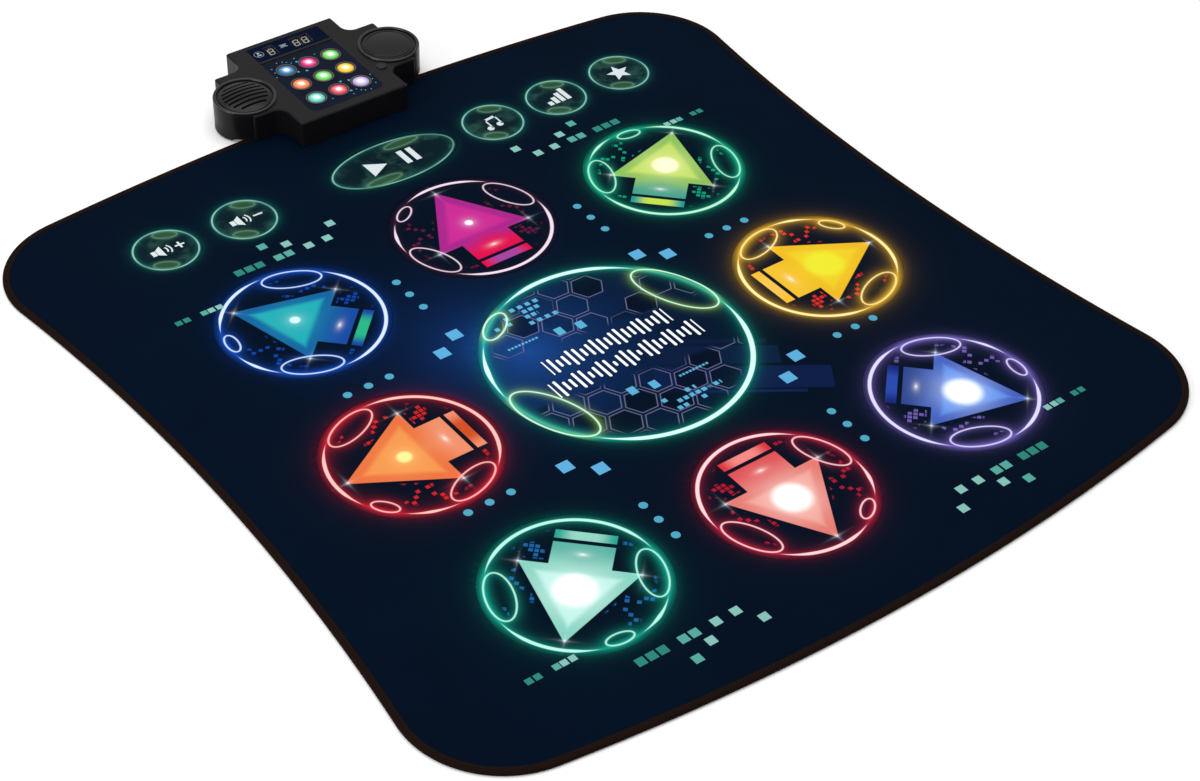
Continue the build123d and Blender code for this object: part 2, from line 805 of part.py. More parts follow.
def light_board():
    """Upper circuit board, with a tab under the power button."""
    y0 = console_front + 7.0
    y1 = console_front + body_depth - wall - 3.0
    half = light_board_half_width
    board = block(-half, half, y0, y1, light_board_height, light_board_top)
    tab = 1.5 * switch_side / 2
    tab_front = button_place[1] - tab
    tab_back = button_place[1] + tab
    board += block(half - 1, button_x + tab, tab_front, tab_back, light_board_height, light_board_top)
    for x, y in light_posts_at:
        board -= post(x, y, light_board_height, light_board_top, screw_radius + pass_gap)
    return board


window_plate = rounded_plate(panel_width, window_depth, panel_thickness, window_corner_radius, window_corner_radius)
save("light_panel", light_panel())
save("light_lenses", *[light_lens(x, y) for x, y in lens_grid])
save("lens_bezels", *[lens_bezel(x, y) for x, y in lens_grid])
save("display_window", on_slope(0, window_front, seat_gap, window_plate))
save("light_divider", light_divider())
save("light_emitters", *[light_emitter(x, y) for x, y in lens_grid])
save("one_digit_display", digit_block(one_digit_x, 1))
save("two_digit_display", digit_block(two_digit_x, 2))
save("light_board", light_board())

# ---------------------------------------------------------------- power button
switch_top = light_board_top + switch_height
button_top = top_height(button_y) + button_proud
button_flange_radius = button_radius + button_flange
flange_top = top_height(button_y, top_thickness) - button_flange_radius * slope - seat_gap
flange_base = flange_top - 1.0
plunger_top = switch_top + button_travel + 0.4
stem_radius = 2.0


def power_button():
    """Round cap with a retaining flange and a stem that reaches the switch."""
    cap = post(*button_place, flange_base, button_top, button_radius)
    cap = fillet(cap.edges().group_by(Axis.Z)[-1], 0.8)
    cap += post(*button_place, flange_base, flange_top, button_flange_radius)
    return cap + post(*button_place, plunger_top, flange_base, stem_radius)


def power_switch():
    half = switch_side / 2
    x, y = button_place
    body = block(x - half, x + half, y - half, y + half, light_board_top, switch_top)
    return body - post(x, y, light_board_top + 0.6, switch_top, plunger_radius + seat_gap)


def coil(radius, wire, length, turns):
    """Compression spring that stands on the origin and reaches the length, wire included."""
    height = length - 2 * wire
    path = Helix(pitch=height / turns, height=height, radius=radius)
    section = (path ^ 0) * Circle(wire)
    return Pos(0, 0, wire) * sweep(section, path=path, is_frenet=True)


button_spring_length = flange_base - switch_top - 2 * screw_gap
save("power_button", power_button())
save("power_switch", power_switch())
save("power_switch_plunger", post(*button_place, switch_top - 0.8, plunger_top, plunger_radius))
button_coil = coil(2.9, 0.2, button_spring_length, 3)
save("power_button_spring", Pos(*button_place, switch_top + screw_gap) * button_coil)

# ---------------------------------------------------------------- battery bay and door
bay_half_width = (cell_length + spring_length + 2 * plate_thickness) / 2
bay_depth = cell_count * cell_pitch + 0.5
bay_y0 = console_front + bay_from_front
bay_y1 = bay_y0 + bay_depth
door_top = foot_height + door_thickness
cell_height = door_top + loose_gap + cell_radius
bay_roof = cell_height + cell_radius + 0.6
door_half_width = bay_half_width + bay_wall + 2.0
door_front = bay_y0 - bay_wall - 1.0
door_back = console_front + body_depth
tongue_base = foot_height + (door_thickness - door_tongue_thickness) / 2
tongue_top = tongue_base + door_tongue_thickness
door_travel = door_back - door_front - door_tongue_left
cell_ys = [bay_y0 + 0.25 + cell_pitch * (index + 0.5) for index in range(cell_count)]


def battery_cell(index):
    """Round cell along X; neighbours lie head to tail."""
    way = 1 if index % 2 == 0 else -1
    body_length = cell_length - cell_nub_length
    up = (Align.CENTER, Align.CENTER, Align.MIN)
    cell = Cylinder(cell_radius, body_length, align=up)
    cell += Pos(0, 0, body_length) * Cylinder(cell_nub_radius, cell_nub_length, align=up)
    start = way * (bay_half_width - plate_thickness - face_gap - cell_length)
    return Pos(start, cell_ys[index], cell_height) * (Rot(0, 90 * way, 0) * cell)


def battery_spring(index):
    """Spring contact between the cell's flat end and its plate."""
    way = 1 if index % 2 == 0 else -1
    end = -way * (bay_half_width - plate_thickness - screw_gap)
    spring = coil(spring_radius, spring_wire, spring_length - 2 * face_gap, 4)
    return Pos(end, cell_ys[index], cell_height) * (Rot(0, 90 * way, 0) * spring)


def battery_plates():
    """A flat contact behind each end of each cell."""
    plates = []
    half = cell_radius * 0.8
    for y in cell_ys:
        for side in (-1, 1):
            inner = side * (bay_half_width - plate_thickness)
            outer = side * (bay_half_width - screw_gap)
            plate = block(
                min(inner, outer), max(inner, outer), y - half, y + half, cell_height - half, cell_height + half
            )
            plates.append(plate)
    return plates


def battery_door():
    """Door that slides out backwards, with a tongue along each side and a ribbed thumb grip."""
    door = block(-door_half_width, door_half_width, door_front, door_back, foot_height, door_top)
    reach = door_half_width + door_tongue
    door += block(-reach, reach, door_front, door_back - wall, tongue_base, tongue_top)
    grip_front = door_back - 18
    for index in range(5):
        y = grip_front + index * 2.6
        door -= block(-12, 12, y, y + 1.2, foot_height, foot_height + 0.5)
    return door


# ---------------------------------------------------------------- lower housing
def lower_housing():
    """Tray with a raised ledge over the mat, battery bay, screw bosses and seats for the feet."""
    step = console_front + step_from_front
    wide = wing_span
    shell = raise_face(console_outline(0), foot_height, parting_height)
    shell -= block(-wide, wide, console_front - 10, step, 0, ledge_base)
    inside = raise_face(console_outline(wall), floor_top, parting_height)
    inside -= block(-wide, wide, console_front - 10, step + wall, 0, ledge_top)
    shell -= inside
    bay_x = bay_half_width + bay_wall
    shell += block(-bay_x, bay_x, bay_y0 - bay_wall, bay_y1 + bay_wall, floor_top - 1, bay_roof + bay_wall)
    shell -= block(-bay_half_width, bay_half_width, bay_y0, bay_y1, foot_height, bay_roof)
    gap_x = door_half_width + loose_gap
    groove_x = door_half_width + door_tongue + loose_gap
    gap_y = door_front - loose_gap
    past = door_back + 10
    shell -= block(-gap_x, gap_x, gap_y, past, 0, door_top + 0.15)
    shell -= block(-groove_x, groove_x, gap_y, past, tongue_base - 0.15, tongue_top + 0.15)
    for x, y in housing_screws_at:
        shell += post(x, y, foot_height, parting_height, boss_radius)
        shell -= post(x, y, foot_height, parting_height, screw_radius + pass_gap)
        shell -= post(x, y, foot_height, counterbore_top, screw_head_radius + pass_gap)
    for x, y in main_posts_at:
        shell += post(x, y, ledge_base, main_board_base, boss_radius - 0.5)
        shell -= post(x, y, ledge_top - 1, main_board_base, screw_radius + screw_gap)
    for x in clamp_xs:
        shell -= post(x, clamp_y, ledge_base, ledge_top, screw_hole)
    for x, y in feet_at:
        shell -= post(x, y, foot_height, foot_height + rubber_foot_seat, rubber_foot_radius + seat_gap)
    slot_half = tail_width / 2 + loose_gap
    shell -= block(-slot_half, slot_half, tail_rise - 1, tail_rise + 1.2, ledge_base, ledge_top)
    return shell


housing_screw_length = parting_height - counterbore_top + thread_length
housing_fastener = Rot(180, 0, 0) * screw(screw_radius, housing_screw_length, screw_head_radius, screw_head_height)
clamp_screw_length = ledge_top - 0.2
clamp_fastener = screw(clamp_screw_radius, clamp_screw_length, 2.75, 1.9)
board_fastener = screw(screw_radius, board_screw_length, screw_head_radius, screw_head_height)
board_fasteners = [Pos(x, y, main_board_top) * board_fastener for x, y in main_posts_at]
board_fasteners += [Pos(x, y, light_board_height) * (Rot(180, 0, 0) * board_fastener) for x, y in light_posts_at]
foot = post(0, 0, 0, foot_height + rubber_foot_seat - face_gap, rubber_foot_radius)
save("lower_housing", lower_housing())
save("battery_door", battery_door())
save("battery_cells", *[battery_cell(index) for index in range(cell_count)])
save("battery_springs", *[battery_spring(index) for index in range(cell_count)])
save("battery_plates", *battery_plates())
save("housing_screws", *[Pos(x, y, counterbore_top) * housing_fastener for x, y in housing_screws_at])
save("clamp_screws", *[Pos(x, clamp_y, ledge_top) * clamp_fastener for x in clamp_xs])
save("board_screws", *board_fasteners)
save("rubber_feet", *[Pos(x, y, 0) * foot for x, y in feet_at])


# ---------------------------------------------------------------- main board
def main_board():
    y0 = console_front + main_board_front
    y1 = console_front + main_board_back
    half = main_board_half_width
    board = block(-half, half, y0, y1, main_board_base, main_board_top)
    for x, y in main_posts_at:
        board -= post(x, y, main_board_base, main_board_top, screw_radius + pass_gap)
    return board


def membrane_connector():
    """Flat socket with a mouth at the back for the tail."""
    half = tail_width / 2 + 3.0
    y0 = console_front + connector_front
    y1 = y0 + connector_depth
    body = block(-half, half, y0, y1, main_board_top, main_board_top + connector_height)
    mouth = tail_width / 2 + seat_gap
    return body - block(-mouth, mouth, y1 - 3.0, y1, tail_top - 0.4, tail_top + 0.4)


def board_chips():
    """Sound chip under a round blob, and a flat amplifier chip."""
    up = (Align.CENTER, Align.CENTER, Align.MIN)
    blob = Pos(-20, console_front + 16, main_board_top) * Cylinder(7, 1.8, align=up)
    blob = fillet(blob.edges().group_by(Axis.Z)[-1], 1.2)
    amplifier = block(18, 28, console_front + 14, console_front + 20, main_board_top, main_board_top + 1.7)
    return blob, amplifier


def lead(points, bend, radius):
    """Round wire along straight runs joined by tangent arcs."""
    path = FilletPolyline(*points, radius=bend)
    section = Plane(origin=path @ 0, z_dir=path % 0) * Circle(radius)
    return sweep(section, path=path)


def speaker_lead(offset):
    """Wire from the main board up to the speaker's back plate."""
    start = (-main_board_half_width + 3.0, console_front + 24.0 + offset)
    end = (-pod_reach + 15.0, console_front + pod_from_front - 6.0 + offset)
    run = main_board_top + 4.5
    end_z = top_height(pod_from_front - 6.0, flange_bottom + speaker_depth - speaker_flange_thickness) - 0.6
    points = ((*start, main_board_top), (*start, run), (*end, run), (*end, end_z))
    return lead(points, 2.0, 0.6)


def battery_lead(x):
    """Wire from the battery bay forward to the main board."""
    y = console_front + main_board_back - 4.0
    run = main_board_top + 5.0
    points = ((x, bay_y0 - bay_wall, run), (x, y, run), (x, y, main_board_top))
    return lead(points, 2.5, 0.6)


save("main_board", main_board())
save("membrane_connector", membrane_connector())
save("board_chips", *board_chips())
save("filter_capacitor", post(34, console_front + 26, main_board_top, main_board_top + 9.0, 4.0))
header_y = console_front + 9.0
save("board_link_header", block(-10, 10, header_y, header_y + 2.5, main_board_top, light_board_height))
save("inner_leads", speaker_lead(0.0), speaker_lead(3.0), battery_lead(-24.0), battery_lead(24.0))

print("overall length", overall_length, "pad travel", round(pad_travel, 3), "door travel", round(door_travel, 3))
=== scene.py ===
# %% [markdown]
# # A printed dance mat with a lit console
#
# The real thing is a soft mat: a printed polyester cloth over foam and two contact films, with a taped
# edge. A small moulded console is clamped over the middle of its far edge. The CAD model already holds
# every hard piece and every joint. This lesson dresses it: it keeps the hard pieces and gives them their
# finishes, and it makes the soft ones again as cloth, tape, thread and ink.

import json

import bpy
import numpy as np
from mathutils import Matrix, Vector
from mathutils.geometry import delaunay_2d_cdt


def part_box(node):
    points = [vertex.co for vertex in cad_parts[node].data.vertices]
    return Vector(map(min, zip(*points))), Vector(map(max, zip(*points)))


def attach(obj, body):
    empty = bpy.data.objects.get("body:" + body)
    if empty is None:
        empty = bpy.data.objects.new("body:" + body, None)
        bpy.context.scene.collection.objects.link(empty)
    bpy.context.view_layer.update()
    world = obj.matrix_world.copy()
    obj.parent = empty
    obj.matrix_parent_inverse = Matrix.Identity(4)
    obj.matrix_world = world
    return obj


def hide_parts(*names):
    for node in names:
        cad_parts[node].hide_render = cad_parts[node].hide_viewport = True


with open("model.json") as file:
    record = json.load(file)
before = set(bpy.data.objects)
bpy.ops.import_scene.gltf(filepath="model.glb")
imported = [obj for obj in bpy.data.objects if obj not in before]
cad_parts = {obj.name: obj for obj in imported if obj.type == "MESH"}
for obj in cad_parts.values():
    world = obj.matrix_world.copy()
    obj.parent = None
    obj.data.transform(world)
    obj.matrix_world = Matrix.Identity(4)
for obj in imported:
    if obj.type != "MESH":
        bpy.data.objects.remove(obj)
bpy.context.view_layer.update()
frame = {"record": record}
scene = bpy.context.scene

# %% [markdown]
# ## Where things are
#
# Every place comes from the CAD model, so that a piece made here falls where the hard piece is. The middle
# stepping pad is the middle of the printed field, and most of the print is laid out from it.


# %% Places
def middle_of(node):
    """Middle of a CAD node's box, as an array."""
    low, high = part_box(node)
    return (np.array(low) + np.array(high)) / 2


MM = 0.001
field = middle_of("step_pad_middle")[:2]
cloth_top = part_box("step_pad_middle")[1].z
pad_names = ["far_left", "far", "far_right", "left", "middle", "right", "near_left", "near", "near_right"]
button_names = ["volume_up", "volume_down", "start", "mode", "difficulty", "demo"]
disc_nodes = ["step_pad_" + name for name in pad_names] + ["foot_button_" + name for name in button_names]
discs = {}
for node in disc_nodes:
    low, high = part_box(node)
    discs[node] = ((low.x + high.x) / 2, (low.y + high.y) / 2, (high.x - low.x) / 2, (high.y - low.y) / 2)
print("field middle", field.round(4), "cloth top", round(cloth_top, 4), "discs", len(discs))

# %% [markdown]
# ## Camera, floor and light
#
# The mat is seen from its near left, from above the knee, with a slightly long lens. The floor is a plain
# white sweep, and the light comes from big soft boxes, so the cloth stays matt and the shadows stay soft.
# The camera is placed from the middle pad and looks along a direction: three axes are enough to hold it.

# %% Camera
camera = bpy.data.objects.new("camera", bpy.data.cameras.new("camera"))
scene.collection.objects.link(camera)
eye = Vector((field[0] - 1.106, field[1] - 1.3731, 1.4389))
ahead = Vector((0.4744, 0.5999, -0.6442)).normalized()
across = Vector((0.7976, -0.6026, 0.0262)).normalized()
above = across.cross(ahead)
camera.matrix_world = Matrix.Translation(eye) @ Matrix((across, above, -ahead)).transposed().to_4x4()
camera.data.lens = 73.25
camera.data.sensor_width = 36.0
camera.data.sensor_fit = "HORIZONTAL"
camera.data.clip_start = 0.05
scene.camera = camera


# %% Floor, sky and soft boxes
def soft_box(name, place, target, size, power):
    """Rectangular area light of a given size, aimed from a place at a target."""
    light = bpy.data.lights.new(name, "AREA")
    light.shape = "RECTANGLE"
    light.size, light.size_y = size
    light.energy = power
    holder = bpy.data.objects.new(name, light)
    scene.collection.objects.link(holder)
    aim = (Vector(target) - Vector(place)).normalized()
    holder.matrix_world = Matrix.Translation(place) @ aim.to_track_quat("-Z", "Y").to_matrix().to_4x4()


def grid_faces(rows, columns, around=False):
    """Quads of a grid of points, row after row; with around, the last column joins the first."""
    row = np.arange(rows - 1)[:, None] * columns
    column = np.arange(columns if around else columns - 1)[None, :]
    after = (column + 1) % columns
    corners = (row + column, row + after, row + columns + after, row + columns + column)
    return np.stack(np.broadcast_arrays(*corners), -1).reshape(-1, 4)


def new_piece(name, points, faces, material, smooth=True):
    """Mesh object from an array of points and a list or array of faces."""
    mesh = bpy.data.meshes.new(name)
    corners = faces.tolist() if isinstance(faces, np.ndarray) else faces
    mesh.from_pydata(np.asarray(points).reshape(-1, 3).tolist(), [], corners)
    mesh.update()
    if smooth:
        mesh.shade_smooth()
    else:
        mesh.shade_flat()
    mesh.materials.append(material)
    piece = bpy.data.objects.new(name, mesh)
    scene.collection.objects.link(piece)
    return piece


FLOOR_REACH = 9.0
sweep = np.linspace(-FLOOR_REACH, FLOOR_REACH, 3)
floor_points = np.stack(np.meshgrid(sweep, sweep, [0.0], indexing="ij"), -1)
floor_paint = bpy.data.materials.new("floor_paint")
floor_paint.use_nodes = True
floor_shader = floor_paint.node_tree.nodes["Principled BSDF"]
floor_shader.inputs["Base Color"].default_value = (0.93, 0.93, 0.935, 1)
floor_shader.inputs["Roughness"].default_value = 0.7
floor = new_piece("floor", floor_points, grid_faces(3, 3)[:, ::-1], floor_paint)
sky = scene.world or bpy.data.worlds.new("sky")
scene.world = sky
sky.use_nodes = True
backdrop = sky.node_tree.nodes["Background"]
backdrop.inputs["Color"].default_value = (1.0, 1.0, 1.0, 1)
backdrop.inputs["Strength"].default_value = 0.68
soft_box("top_box", (0.3, 0.6, 3.2), (0.0, 0.0, 0.0), (3.0, 3.0), 56)
soft_box("left_box", (-2.3, 0.1, 1.1), (0.0, 0.4, 0.0), (1.3, 0.9), 24)
scene.view_settings.view_transform = "Standard"
print("camera at", tuple(round(c, 3) for c in eye))

# %% [markdown]
# ## Writing sums as nodes
#
# The print on this mat is all simple drawing: circles, ovals, triangles and bars, with a glow that fades
# with distance. Each of those is a short sum about how far a point is from a line. A shader can do such a
# sum for every point, so the print stays sharp however near one looks. Ink below is a number that changes
# over the surface. Adding, multiplying or comparing two of them writes the Math node that does it.


# %% Ink: numbers that vary over a surface
class Ink:
    """A node's output that sums can be written with: each sum becomes a Math node in the same tree."""

    def __init__(self, socket):
        self.socket = socket

    def __add__(self, other):
        return reckon("ADD", self, other)

    def __sub__(self, other):
        return reckon("SUBTRACT", self, other)

    def __rsub__(self, other):
        return reckon("SUBTRACT", other, self)

    def __mul__(self, other):
        return reckon("MULTIPLY", self, other)

    def __truediv__(self, other):
        return reckon("DIVIDE", self, other)

    __radd__ = __add__
    __rmul__ = __mul__

    def __abs__(self):
        return reckon("ABSOLUTE", self)

    def __neg__(self):
        return reckon("MULTIPLY", self, -1.0)


def put(tree, value, hole):
    """Link a varying value to an input, or write a plain number there."""
    if isinstance(value, Ink):
        value = value.socket
    if isinstance(value, bpy.types.NodeSocket):
        tree.links.new(value, hole)
    else:
        hole.default_value = value


# short names for the shader's inputs
HOLES = {
    "colour": "Base Color", "rough": "Roughness", "shine": "Specular IOR Level", "metal": "Metallic",
    "coat": "Coat Weight", "coat_rough": "Coat Roughness", "through": "Transmission Weight", "bend": "IOR",
    "glow": "Emission Color", "glow_power": "Emission Strength",
}


def paint(shader, **looks):
    """Fill the shader's inputs with numbers, colours or varying values."""
    for name, value in looks.items():
        if isinstance(value, tuple):
            value = (*value, 1.0)
        put(shader.id_data, value, shader.inputs[HOLES[name]])


def tree_of(*values):
    """Node tree that the first varying value lives in."""
    sockets = [v.socket if isinstance(v, Ink) else v for v in values]
    return next(s for s in sockets if isinstance(s, bpy.types.NodeSocket)).id_data


def reckon(kind, *values):
    """One Math node."""
    tree = tree_of(*values)
    node = tree.nodes.new("ShaderNodeMath")
    node.operation = kind
    for hole, value in zip(node.inputs, values):
        put(tree, value, hole)
    return Ink(node.outputs[0])


def reckon_vector(kind, *values, out=0, scale=None):
    """One Vector Math node; out 1 is its single-number result."""
    tree = tree_of(*values)
    node = tree.nodes.new("ShaderNodeVectorMath")
    node.operation = kind
    for hole, value in zip(node.inputs, values):
        put(tree, value, hole)
    if scale is not None:
        node.inputs["Scale"].default_value = scale
    return Ink(node.outputs["Value"]) if out else node.outputs[0]


def step_up(value, low, high):
    """Smooth step: 0 up to low, 1 from high, and the other way round where high is the smaller."""
    tree = tree_of(value)
    node = tree.nodes.new("ShaderNodeMapRange")
    node.interpolation_type = "SMOOTHSTEP"
    put(tree, value, node.inputs["Value"])
    if low < high:
        edges = (low, high, 0.0, 1.0)
    else:
        edges = (high, low, 1.0, 0.0)
    for name, number in zip(("From Min", "From Max", "To Min", "To Max"), edges):
        node.inputs[name].default_value = number
    return Ink(node.outputs["Result"])


def fade(distance, reach):
    """Glow that falls to about a third at the reach: the exponential of minus distance over reach."""
    return reckon("EXPONENT", distance * (-1.0 / reach))


def smallest(*values):
    """The least of several values."""
    found = values[0]
    for value in values[1:]:
        found = reckon("MINIMUM", found, value)
    return found


def largest(*values):
    """The greatest of several values."""
    found = values[0]
    for value in values[1:]:
        found = reckon("MAXIMUM", found, value)
    return found


def seen_from(spot, centre, turn=0.0, size=(1.0, 1.0, 1.0)):
    """The same points measured from another centre, turned axes and, if wanted, another unit."""
    tree = tree_of(spot)
    node = tree.nodes.new("ShaderNodeMapping")
    node.vector_type = "TEXTURE"
    tree.links.new(spot, node.inputs["Vector"])
    node.inputs["Location"].default_value = (*centre[:2], centre[2] if len(centre) > 2 else 0.0)
    node.inputs["Rotation"].default_value = (0.0, 0.0, turn)
    node.inputs["Scale"].default_value = size
    return node.outputs[0]


def sides_of(spot):
    """The x and y of a point, as Ink."""
    tree = tree_of(spot)
    node = tree.nodes.new("ShaderNodeSeparateXYZ")
    tree.links.new(spot, node.inputs[0])
    return Ink(node.outputs[0]), Ink(node.outputs[1])


def flat(spot):
    """The point with its height left out, so that lengths are measured in plan."""
    return reckon_vector("MULTIPLY", spot, (1.0, 1.0, 0.0))


def length_of(spot):
    """Length of a point's vector."""
    return reckon_vector("LENGTH", spot, out=1)


def distance_from(spot, x, y):
    """Distance of each point from one place in plan."""
    return reckon_vector("DISTANCE", spot, (x, y, 0.0), out=1)


def lay(under, colour, cover, how="MIX"):
    """One colour laid over another where cover is 1; with ADD it shines through instead of covering."""
    tree = tree_of(cover)
    node = tree.nodes.new("ShaderNodeMix")
    node.data_type = "RGBA"
    node.blend_type = how
    node.clamp_factor = how == "MIX"
    put(tree, cover, node.inputs[0])
    for hole, value in ((node.inputs[6], under), (node.inputs[7], colour)):
        put(tree, (*value, 1.0) if isinstance(value, tuple) else value, hole)
    return node.outputs[2]


def oval_distance(spot, centre, turn, half_long, half_short):
    """Distance to an oval's line, negative inside: k(k-1)/g, with k the size of the point in units of the
    half axes and g the size of that divided by the half axes once more."""
    near = seen_from(spot, centre, turn, (half_long, half_short, 1.0))
    k = length_of(near)
    g = length_of(reckon_vector("DIVIDE", near, (half_long, half_short, 1.0)))
    return k * (k - 1.0) / g


# %% [markdown]
# ## Cloth and its weave
#
# The top is a smooth printed polyester. Close up it is a plain weave of fine threads, which takes the sharp
# edge off every highlight, and from a distance it only looks matt. Two sets of waves at right angles make
# the threads' relief, and a slow noise gives the slight unevenness of dye and of foam under the cloth.


# %% A cloth material
def open_material(name):
    """New material with its shader and its points in object coordinates."""
    material = bpy.data.materials.new(name)
    material.use_nodes = True
    tree = material.node_tree
    shader = tree.nodes["Principled BSDF"]
    places = tree.nodes.new("ShaderNodeTexCoord").outputs["Object"]
    return material, shader, places


def noise_of(places, size, detail=3.0, roughness=0.5):
    """Noise from 0 to 1 with bumps of about the given size in metres."""
    tree = tree_of(places)
    node = tree.nodes.new("ShaderNodeTexNoise")
    tree.links.new(places, node.inputs["Vector"])
    node.inputs["Scale"].default_value = 1.0 / size
    node.inputs["Detail"].default_value = detail
    node.inputs["Roughness"].default_value = roughness
    return Ink(node.outputs["Fac"])


def threads_of(places, pitch):
    """Relief of a plain weave: two waves at right angles, the higher one on top."""
    x, y = sides_of(places)
    along = reckon("SINE", x * (2 * np.pi / pitch))
    over = reckon("SINE", y * (2 * np.pi / pitch))
    return largest(abs(along), abs(over))


def raise_from(shader, height, strength, depth):
    """Bump from a height that runs from 0 to 1, worth depth metres."""
    tree = shader.id_data
    node = tree.nodes.new("ShaderNodeBump")
    put(tree, height, node.inputs["Height"])
    node.inputs["Strength"].default_value = strength
    node.inputs["Distance"].default_value = depth
    tree.links.new(node.outputs["Normal"], shader.inputs["Normal"])


NAVY, NAVY_DEEP = (0.0011, 0.0056, 0.0160), (0.0006, 0.0038, 0.0118)
THREAD_PITCH = 0.9 * MM


def printed_cloth(name, draw):
    """Cloth material whose colour is what draw(points, navy ground) returns, with weave and soft sheen; the
    colour is darkened in the hollows between the threads, which is painted shade.
    """
    material, shader, places = open_material(name)
    uneven = noise_of(places, 0.11, 2.0)
    ground = lay(NAVY_DEEP, NAVY, uneven)
    colour = draw(places, ground)
    threads = threads_of(places, THREAD_PITCH)
    # painted shade: the colour is darkened in the hollows between the threads
    colour = lay(colour, (0.0, 0.0, 0.0), (1.0 - threads) * 0.16)
    paint(shader, colour=colour, rough=0.62 + uneven * 0.12, shine=0.01)
    raise_from(shader, threads, 0.35, 0.12 * MM)
    return material


# %% [markdown]
# ## The rings' glow
#
# Each stepping zone has a ring like a bent light tube: a pale core with a coloured glow. The ring lies just
# inside the edge of its pad and the glow runs out over the fixed cloth round it. Both materials use the same
# sum for the glow, so nothing shows where the pad ends.

# %% Colours of the zones
ARROW_RING = 77.6 * MM
MIDDLE_RING = 125.6 * MM
BUTTON_RING = 32.0 * MM
START_RING = (70.5 * MM, 33.5 * MM)
# way: direction of the arrow in degrees; glow: strength and reach of the ring's glow in mm;
# spot_size: reach of the lit spot in mm; edge, heart, spot: the head from its rim to its lit spot;
# tail, bar: colours of the stem's end and of the bar; bits: colour of the confetti where it isn't the halo's
ZONES = {
    "far_left": dict(way=135, ring=(0.62, 0.74, 0.95), halo=(0.004, 0.045, 0.30), glow=(1.0, 5.5),
        spot_size=5.5, edge=(0.006, 0.095, 0.29), heart=(0.015, 0.36, 0.40), spot=(0.60, 0.95, 0.95),
        tail=(0.008, 0.050, 0.30), bar=(0.02, 0.40, 0.20)),
    "far": dict(way=90, ring=(0.80, 0.66, 0.78), halo=(0.10, 0.008, 0.035), glow=(0.35, 3.0),
        spot_size=4.5, edge=(0.33, 0.018, 0.22), heart=(0.52, 0.022, 0.26), spot=(1.0, 0.92, 1.0),
        tail=(0.66, 0.004, 0.062), bar=(0.33, 0.05, 0.30)),
    "far_right": dict(way=45, ring=(0.45, 0.84, 0.62), halo=(0.004, 0.28, 0.16), glow=(1.0, 5.5),
        spot_size=15.0, edge=(0.19, 0.43, 0.090), heart=(0.48, 0.64, 0.11), spot=(1.0, 1.0, 0.62),
        tail=(0.012, 0.28, 0.25), bar=(0.48, 0.66, 0.07)),
    "left": dict(way=180, ring=(0.95, 0.50, 0.46), halo=(0.42, 0.008, 0.015), glow=(0.95, 5.0),
        spot_size=8.0, edge=(0.70, 0.14, 0.045), heart=(0.78, 0.27, 0.07), spot=(1.0, 0.78, 0.28),
        tail=(0.74, 0.24, 0.13), bar=(0.55, 0.07, 0.015), bits=(0.50, 0.016, 0.016)),
    "right": dict(way=0, ring=(0.96, 0.82, 0.35), halo=(0.44, 0.24, 0.008), glow=(1.1, 6.0),
        spot_size=22.0, edge=(0.76, 0.40, 0.015), heart=(0.80, 0.54, 0.02), spot=(0.78, 0.74, 0.03),
        tail=(0.82, 0.46, 0.03), bar=(0.84, 0.50, 0.07), bits=(0.62, 0.022, 0.018)),
    "near_left": dict(way=225, ring=(0.45, 0.85, 0.72), halo=(0.004, 0.24, 0.17), glow=(1.0, 5.5),
        spot_size=21.0, edge=(0.15, 0.50, 0.40), heart=(0.42, 0.76, 0.68), spot=(1.0, 1.0, 1.0),
        tail=(0.02, 0.32, 0.25), bar=(0.26, 0.58, 0.48), bits=(0.010, 0.10, 0.30)),
    "near": dict(way=270, ring=(0.95, 0.62, 0.64), halo=(0.36, 0.008, 0.028), glow=(0.9, 4.5),
        spot_size=20.0, edge=(0.66, 0.13, 0.11), heart=(0.78, 0.30, 0.25), spot=(1.0, 0.96, 0.94),
        tail=(0.62, 0.03, 0.045), bar=(0.80, 0.22, 0.20)),
    "near_right": dict(way=315, ring=(0.70, 0.66, 0.92), halo=(0.13, 0.09, 0.36), glow=(0.9, 5.5),
        spot_size=20.0, edge=(0.020, 0.055, 0.38), heart=(0.06, 0.22, 0.75), spot=(0.92, 0.98, 1.0),
        tail=(0.006, 0.018, 0.16), bar=(0.02, 0.06, 0.36)),
}
MIDDLE_HALO = (0.006, 0.33, 0.22)
MIDDLE_GLOW = (1.0, 5.0)
BUTTON_HALO = (0.005, 0.115, 0.10)


TIGHT, WIDE, WIDE_SHARE = 0.55, 2.0, 0.07


def ring_glow(line_distance, strength, reach):
    """Glow beside a ring: a tight bright part and a wide faint one, both fading with distance."""
    tight = fade(line_distance, reach * TIGHT * MM) * strength
    return tight + fade(line_distance, reach * WIDE * MM) * (WIDE_SHARE * strength)


print("zones", len(ZONES), "ring radii", ARROW_RING, MIDDLE_RING)

# %% [markdown]
# ## The fixed cloth
#
# Most of the mat is plain navy. What is printed on it is the glow that spills out of each ring, a patch of
# blue light by the middle ring, and two broad slanting beams that leave it towards the near right.


# %% Drawing on the fixed cloth
BEAM_TURN = -34.0
# each beam's two sides, its two ends and its colour, in metres along the turned axes
BEAMS = (
    (-0.058, -0.026, 0.03, 0.196, (0.0035, 0.012, 0.060)),
    (-0.064, -0.060, 0.04, 0.170, (0.004, 0.016, 0.080)),
    (-0.022, 0.004, 0.02, 0.150, (0.003, 0.011, 0.045)),
    (0.008, 0.014, 0.05, 0.140, (0.003, 0.010, 0.040)),
)


